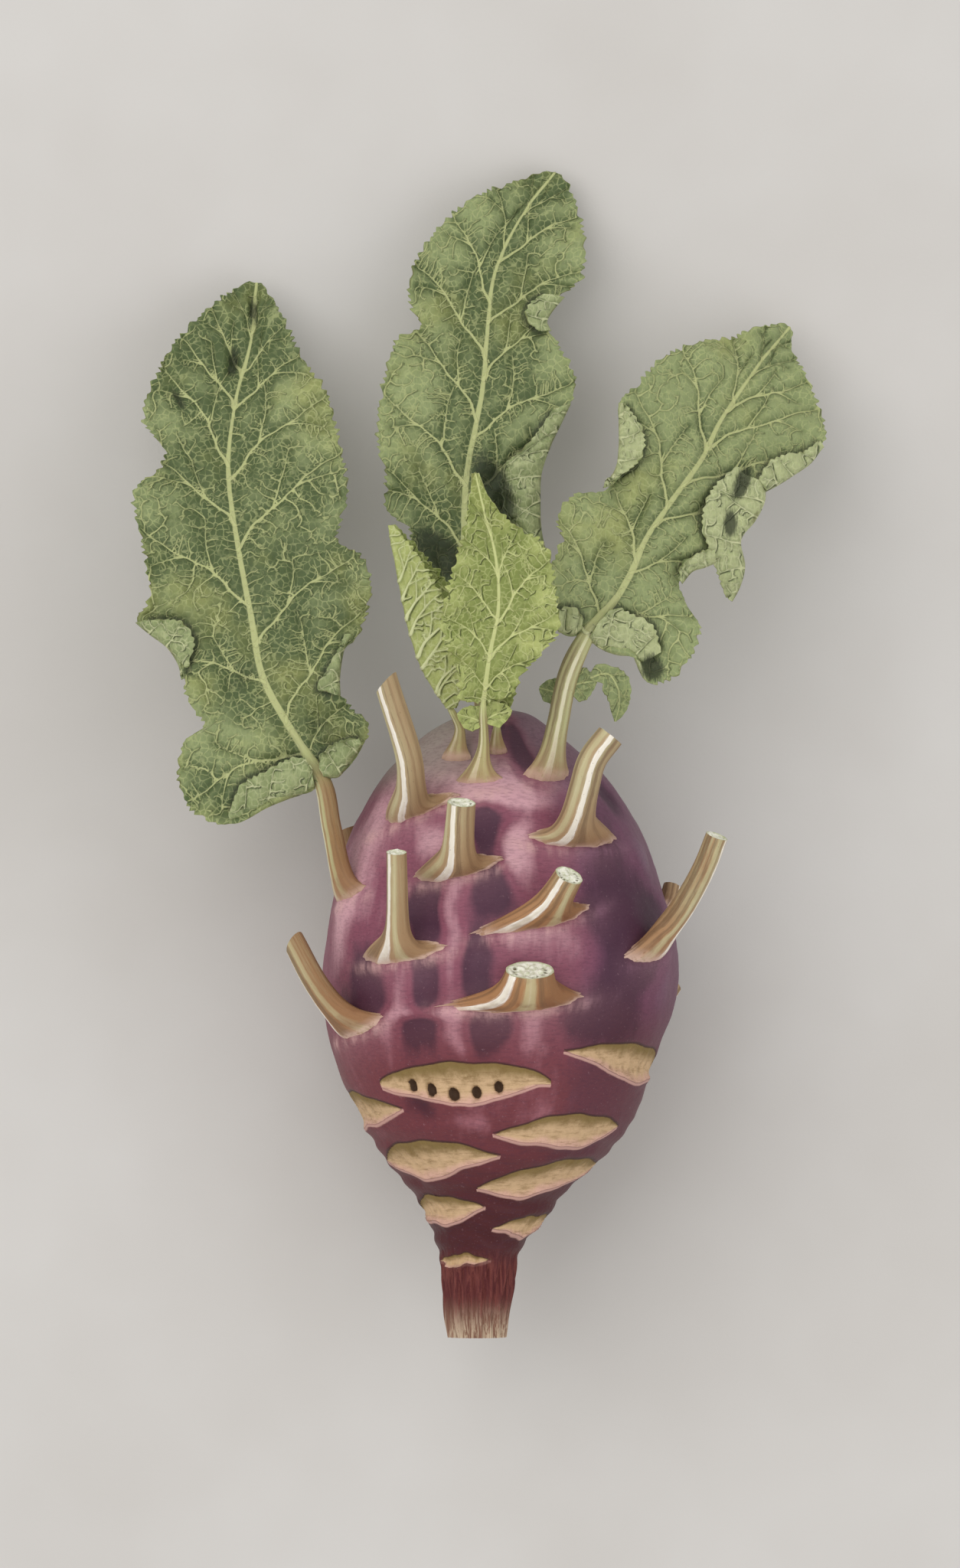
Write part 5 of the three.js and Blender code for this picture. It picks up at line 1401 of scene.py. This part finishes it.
def skin_material():
    """Waxy purple skin with pale swellings and dark hollows, leaf scars, and a fibrous root stump, with painted
    light:
    shade on its right side and in the hollows, highlight on the swellings and shadow under the scars' top edges.
    """
    finish = {"Specular IOR Level": 0.22, "Coat Weight": 0.03, "Coat Roughness": 0.4}
    material, shader, s = principled("purple skin", finish)
    place, turn, crown, stump = s.position(), s.read("turn"), s.read("crown"), s.read("stump")
    y = s.flow("ShaderNodeSeparateXYZ", {"Vector": place}, "Y")
    drift, speckle = s.noise(place, 40.0, 5, 0.6), s.noise(place, 1300.0, 3, 0.7)
    streaks, weave = s.grain(place, (260, 50, 260), 5, 0.62), s.grain(place, (420, 1800, 900), 3, 0.7)
    grain, fibre = s.grain(place, (200, 1100, 260), 4, 0.7), s.grain(place, (1300, 60, 1300), 4, 0.7)
    # Skin: redder low down, darker and bluer on the right side as painted shade, with pale and dark patches and a
    # grey bloom on the crown.
    # Painted shade: this mask turns each skin colour below darker and bluer on the stem's right side.
    right = s.ramp(turn + s.sway(streaks, 14.0), 20.0, 38.0)
    low = s.ramp(y + s.sway(drift, 0.02), 0.006, -0.03)
    tone = s.read("patch") * 1.25 + s.sway(streaks, 1.0) + s.sway(drift, 1.1)
    pale = s.mix(right, s.mix(low, (210, 164, 172), (178, 118, 128)), (122, 90, 110))
    bloom = crown * s.ramp(turn, 8.0, -30.0) * s.ramp(drift, 0.3, 0.6, 0.6, 0.95)
    # The shelf's painted highlight, broken by streaks.
    shelf = s.read("shelf") * s.ramp(streaks, 0.35, 0.65, 0.05, 0.7)
    skin = s.coats(
        s.mix(right, (131, 72, 90), (108, 65, 89)),
        (low * 0.9, s.mix(right, (108, 50, 54), (93, 46, 54))),
        (s.ramp(y, -0.034, -0.066), (72, 26, 29)),
        # Patches: the skin's own mottling, with painted highlight where they swell and painted shade where they sink.
        (s.ramp(tone, 0.0, 1.1, 0.0, 0.85), pale),
        (s.ramp(tone, -0.15, -1.0, 0.0, 0.92), s.mix(low, (66, 36, 56), (70, 30, 40))),
        # Painted highlight: pale pink on the raised cushions round the stalks' feet and along the raised shelf under
        # each foot.
        (s.read("cushion") * 0.16, (184, 138, 146)),
        (shelf, s.mix(right, (206, 164, 160), (132, 92, 110))),
        (bloom, (160, 154, 134)),
        (crown * s.ramp(tone, -0.8, 0.2, 0.05, 0.4), (164, 142, 148)),
        (s.ramp(weave, 0.42, 0.72, 0.0, 0.32), (66, 36, 54)),
        (s.ramp(speckle, 0.6, 0.78, 0.0, 0.22), (196, 160, 168)),
    )
    # Scars: cork, olive at the top and pink at the bottom, with a dark upper rim painted as shadow under the top
    # edge, a pale lip and dark holes.
    depth, down = s.read("scar") + s.sway(streaks, 0.5), s.read("down")
    level, hole = down + s.sway(streaks, 0.4), s.read("hole") + s.sway(grain, 0.2)
    scar = s.ramp(depth, -0.12, 0.16)
    blotch = s.ramp(s.noise(place, 330.0, 4, 0.65), 0.45, 0.65) * s.ramp(level, 0.75, 0.25, 0.1, 0.55)
    # Painted shadow: a dark band along each scar's upper edge.
    rim = s.ramp(abs(depth + 0.1), 0.12, 0.42, 1.0, 0.0) * (s.ramp(down, 0.45, 0.2) * 0.75)
    lip = s.ramp(abs(depth + 0.4), 0.15, 0.55, 1.0, 0.0) * s.ramp(down, 0.5, 0.75)
    cork = s.coats(
        s.mix(s.ramp(level, 0.08, 0.5), (128, 106, 62), (200, 168, 130)),
        (s.ramp(level, 0.66, 1.0), (206, 164, 146)),
        (blotch, (120, 96, 54)),
        (s.ramp(grain, 0.46, 0.72, 0.0, 0.55), (126, 98, 60)),
    )
    # Root stump: dark red fibres that bleach towards the cut, and pith on the cut itself.
    bleached = s.mix(s.ramp(fibre, 0.42, 0.58), (130, 94, 76), (196, 176, 150))
    pith = s.mix(s.ramp(s.noise(place, 750.0, 4, 0.7), 0.4, 0.62), (198, 178, 144), (142, 112, 80))
    root = s.coats(
        s.mix(s.ramp(fibre, 0.42, 0.62), (84, 34, 35), (112, 58, 52)),
        (s.ramp(y + s.sway(fibre, 0.016), -0.084, -0.0955), bleached),
        (s.read("end"), pith),
    )
    colour = s.coats(
        skin,
        (scar, cork),
        # The scars' painted shadow under their top edges.
        (rim, (62, 34, 34)),
        (lip * 0.7, (212, 168, 154)),
        (s.ramp(hole, -0.22, 0.0) * 0.5, (128, 96, 60)),
        (s.ramp(hole, 0.0, 0.14), (66, 46, 30)),
        (stump * (1.0 - scar), root),
    )
    rough = scar * 0.22 + stump * 0.22 + s.ramp(drift, 0.3, 0.7, 0.42, 0.55)
    s.feed(shader, {"Base Color": colour, "Roughness": rough})
    wax = speckle * 0.3 + drift * 0.6 + weave * 0.3
    bark = s.math("MAXIMUM", scar, stump) * (grain + fibre)
    s.bump(shader, wax + bark, 0.3, 0.7)
    return material


# ---- The table, the light and the camera ----

VIEW_HEIGHT = 405.504  # millimetres seen from the top of the frame to the bottom
VIEW_CENTRE = (-5.35, 47.7)
CAMERA_DISTANCE = 4000
SENSOR_SIZE = 36
TABLE_SIZE = 12  # so that its edges lie out of sight
ROOM_LIGHT = 0.77


def build_table():
    bpy.ops.mesh.primitive_plane_add(size=TABLE_SIZE, location=(0, 0, 0))
    table = bpy.context.object
    table.name = "table_top"
    material, shader, s = principled("pale table top", {"Roughness": 0.85})
    place = s.position()
    cloudy, grain = s.noise(place, 6.0, 4), s.noise(place, 900.0, 3)
    s.feed(shader, {"Base Color": s.mix(s.ramp(cloudy, 0.3, 0.7), (203, 200, 196), (195, 191, 186))})
    s.bump(shader, grain, 0.08, 0.4)
    table.data.materials.append(material)
    table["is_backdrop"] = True


def add_to_scene(name, data, location):
    made = bpy.data.objects.new(name, data)
    made.location = location
    bpy.context.scene.collection.objects.link(made)
    return made


def area_light(name, location, size, power, colour):
    """A square light that points at the middle of the table."""
    light = bpy.data.lights.new(name, "AREA")
    light.size, light.energy, light.color = size, power, colour
    made = add_to_scene(name, light, location)
    made.rotation_euler = (-made.location).to_track_quat("-Z", "Y").to_euler()


def build_light_and_camera():
    area_light("window", (-0.9, 0.7, 1.8), size=1.9, power=17, colour=(1, 0.99, 0.975))
    area_light("fill", (1.3, -0.4, 1.7), size=1.8, power=8, colour=(0.97, 0.985, 1))
    world = bpy.data.worlds.new("room")
    world.use_nodes = True
    background = world.node_tree.nodes["Background"]
    background.inputs["Color"].default_value = (1, 1, 1, 1)
    background.inputs["Strength"].default_value = ROOM_LIGHT
    bpy.context.scene.world = world
    camera = bpy.data.cameras.new("camera")
    camera.sensor_width = SENSOR_SIZE
    camera.lens = SENSOR_SIZE * CAMERA_DISTANCE / VIEW_HEIGHT
    camera.clip_end = 100
    place = (VIEW_CENTRE[0] * MM, VIEW_CENTRE[1] * MM, (AXIS_HEIGHT + CAMERA_DISTANCE) * MM)
    bpy.context.scene.camera = add_to_scene("camera", camera, place)
    bpy.context.scene.view_settings.view_transform = "Standard"


# ---- Everything ----

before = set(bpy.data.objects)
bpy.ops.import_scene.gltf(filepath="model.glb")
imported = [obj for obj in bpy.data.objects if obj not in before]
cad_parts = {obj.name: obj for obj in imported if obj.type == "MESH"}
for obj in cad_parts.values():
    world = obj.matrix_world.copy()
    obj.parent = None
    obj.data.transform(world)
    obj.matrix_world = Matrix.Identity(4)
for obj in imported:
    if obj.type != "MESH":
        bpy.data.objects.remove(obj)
size = {"frame": [list(map(float, corner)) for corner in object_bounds()]}

tissue, blade_look = stalk_group(), leaf_group()
skin = skin_material()
cut_stalk = cut_stalk_material(tissue)
green = leaf_material(
    "green leaf",
    blade_look,
    tissue,
    dict(
        Dark=(80, 93, 58),
        Light=(139, 149, 103),
        Vein=(184, 188, 132),
        Under=(168, 174, 128),
        # Colour and strength of the painted shadow beside the veins.
        CreaseShadow=(56, 66, 38),
        CreaseShadowStrength=0.4,
    ),
    dict(Ground=(176, 172, 124), Cream=(222, 220, 186), Moss=(192, 194, 144)),
)
young_green = leaf_material(
    "young green leaf",
    blade_look,
    tissue,
    dict(
        Dark=(124, 134, 72),
        Light=(168, 175, 108),
        Vein=(196, 200, 138),
        Under=(160, 168, 106),
        # Colour and strength of the painted shadow beside the veins.
        CreaseShadow=(76, 84, 42),
        CreaseShadowStrength=0.9,
    ),
    dict(Ground=(184, 180, 126), Cream=(226, 222, 180), Moss=(200, 200, 140)),
)

build_stem(skin)
for number, stalk in enumerate(CUT_STALKS + [low_stalk(*at) for at in LOW_STALKS], 1):
    shape = Mesh()
    stalk_tube(shape, stalk)
    shape.build(f"stalk_{number:02d}", cut_stalk, f"cut_stalk_{number:02d}")
for number, leaf in enumerate(LEAVES, 1):
    look, slot = (young_green, "young_leaf") if leaf["name"] in YOUNG else (green, "leaf")
    build_leaf(leaf, look, number)

build_table()
build_light_and_camera()

size["look"] = [list(map(float, corner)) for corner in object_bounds()]
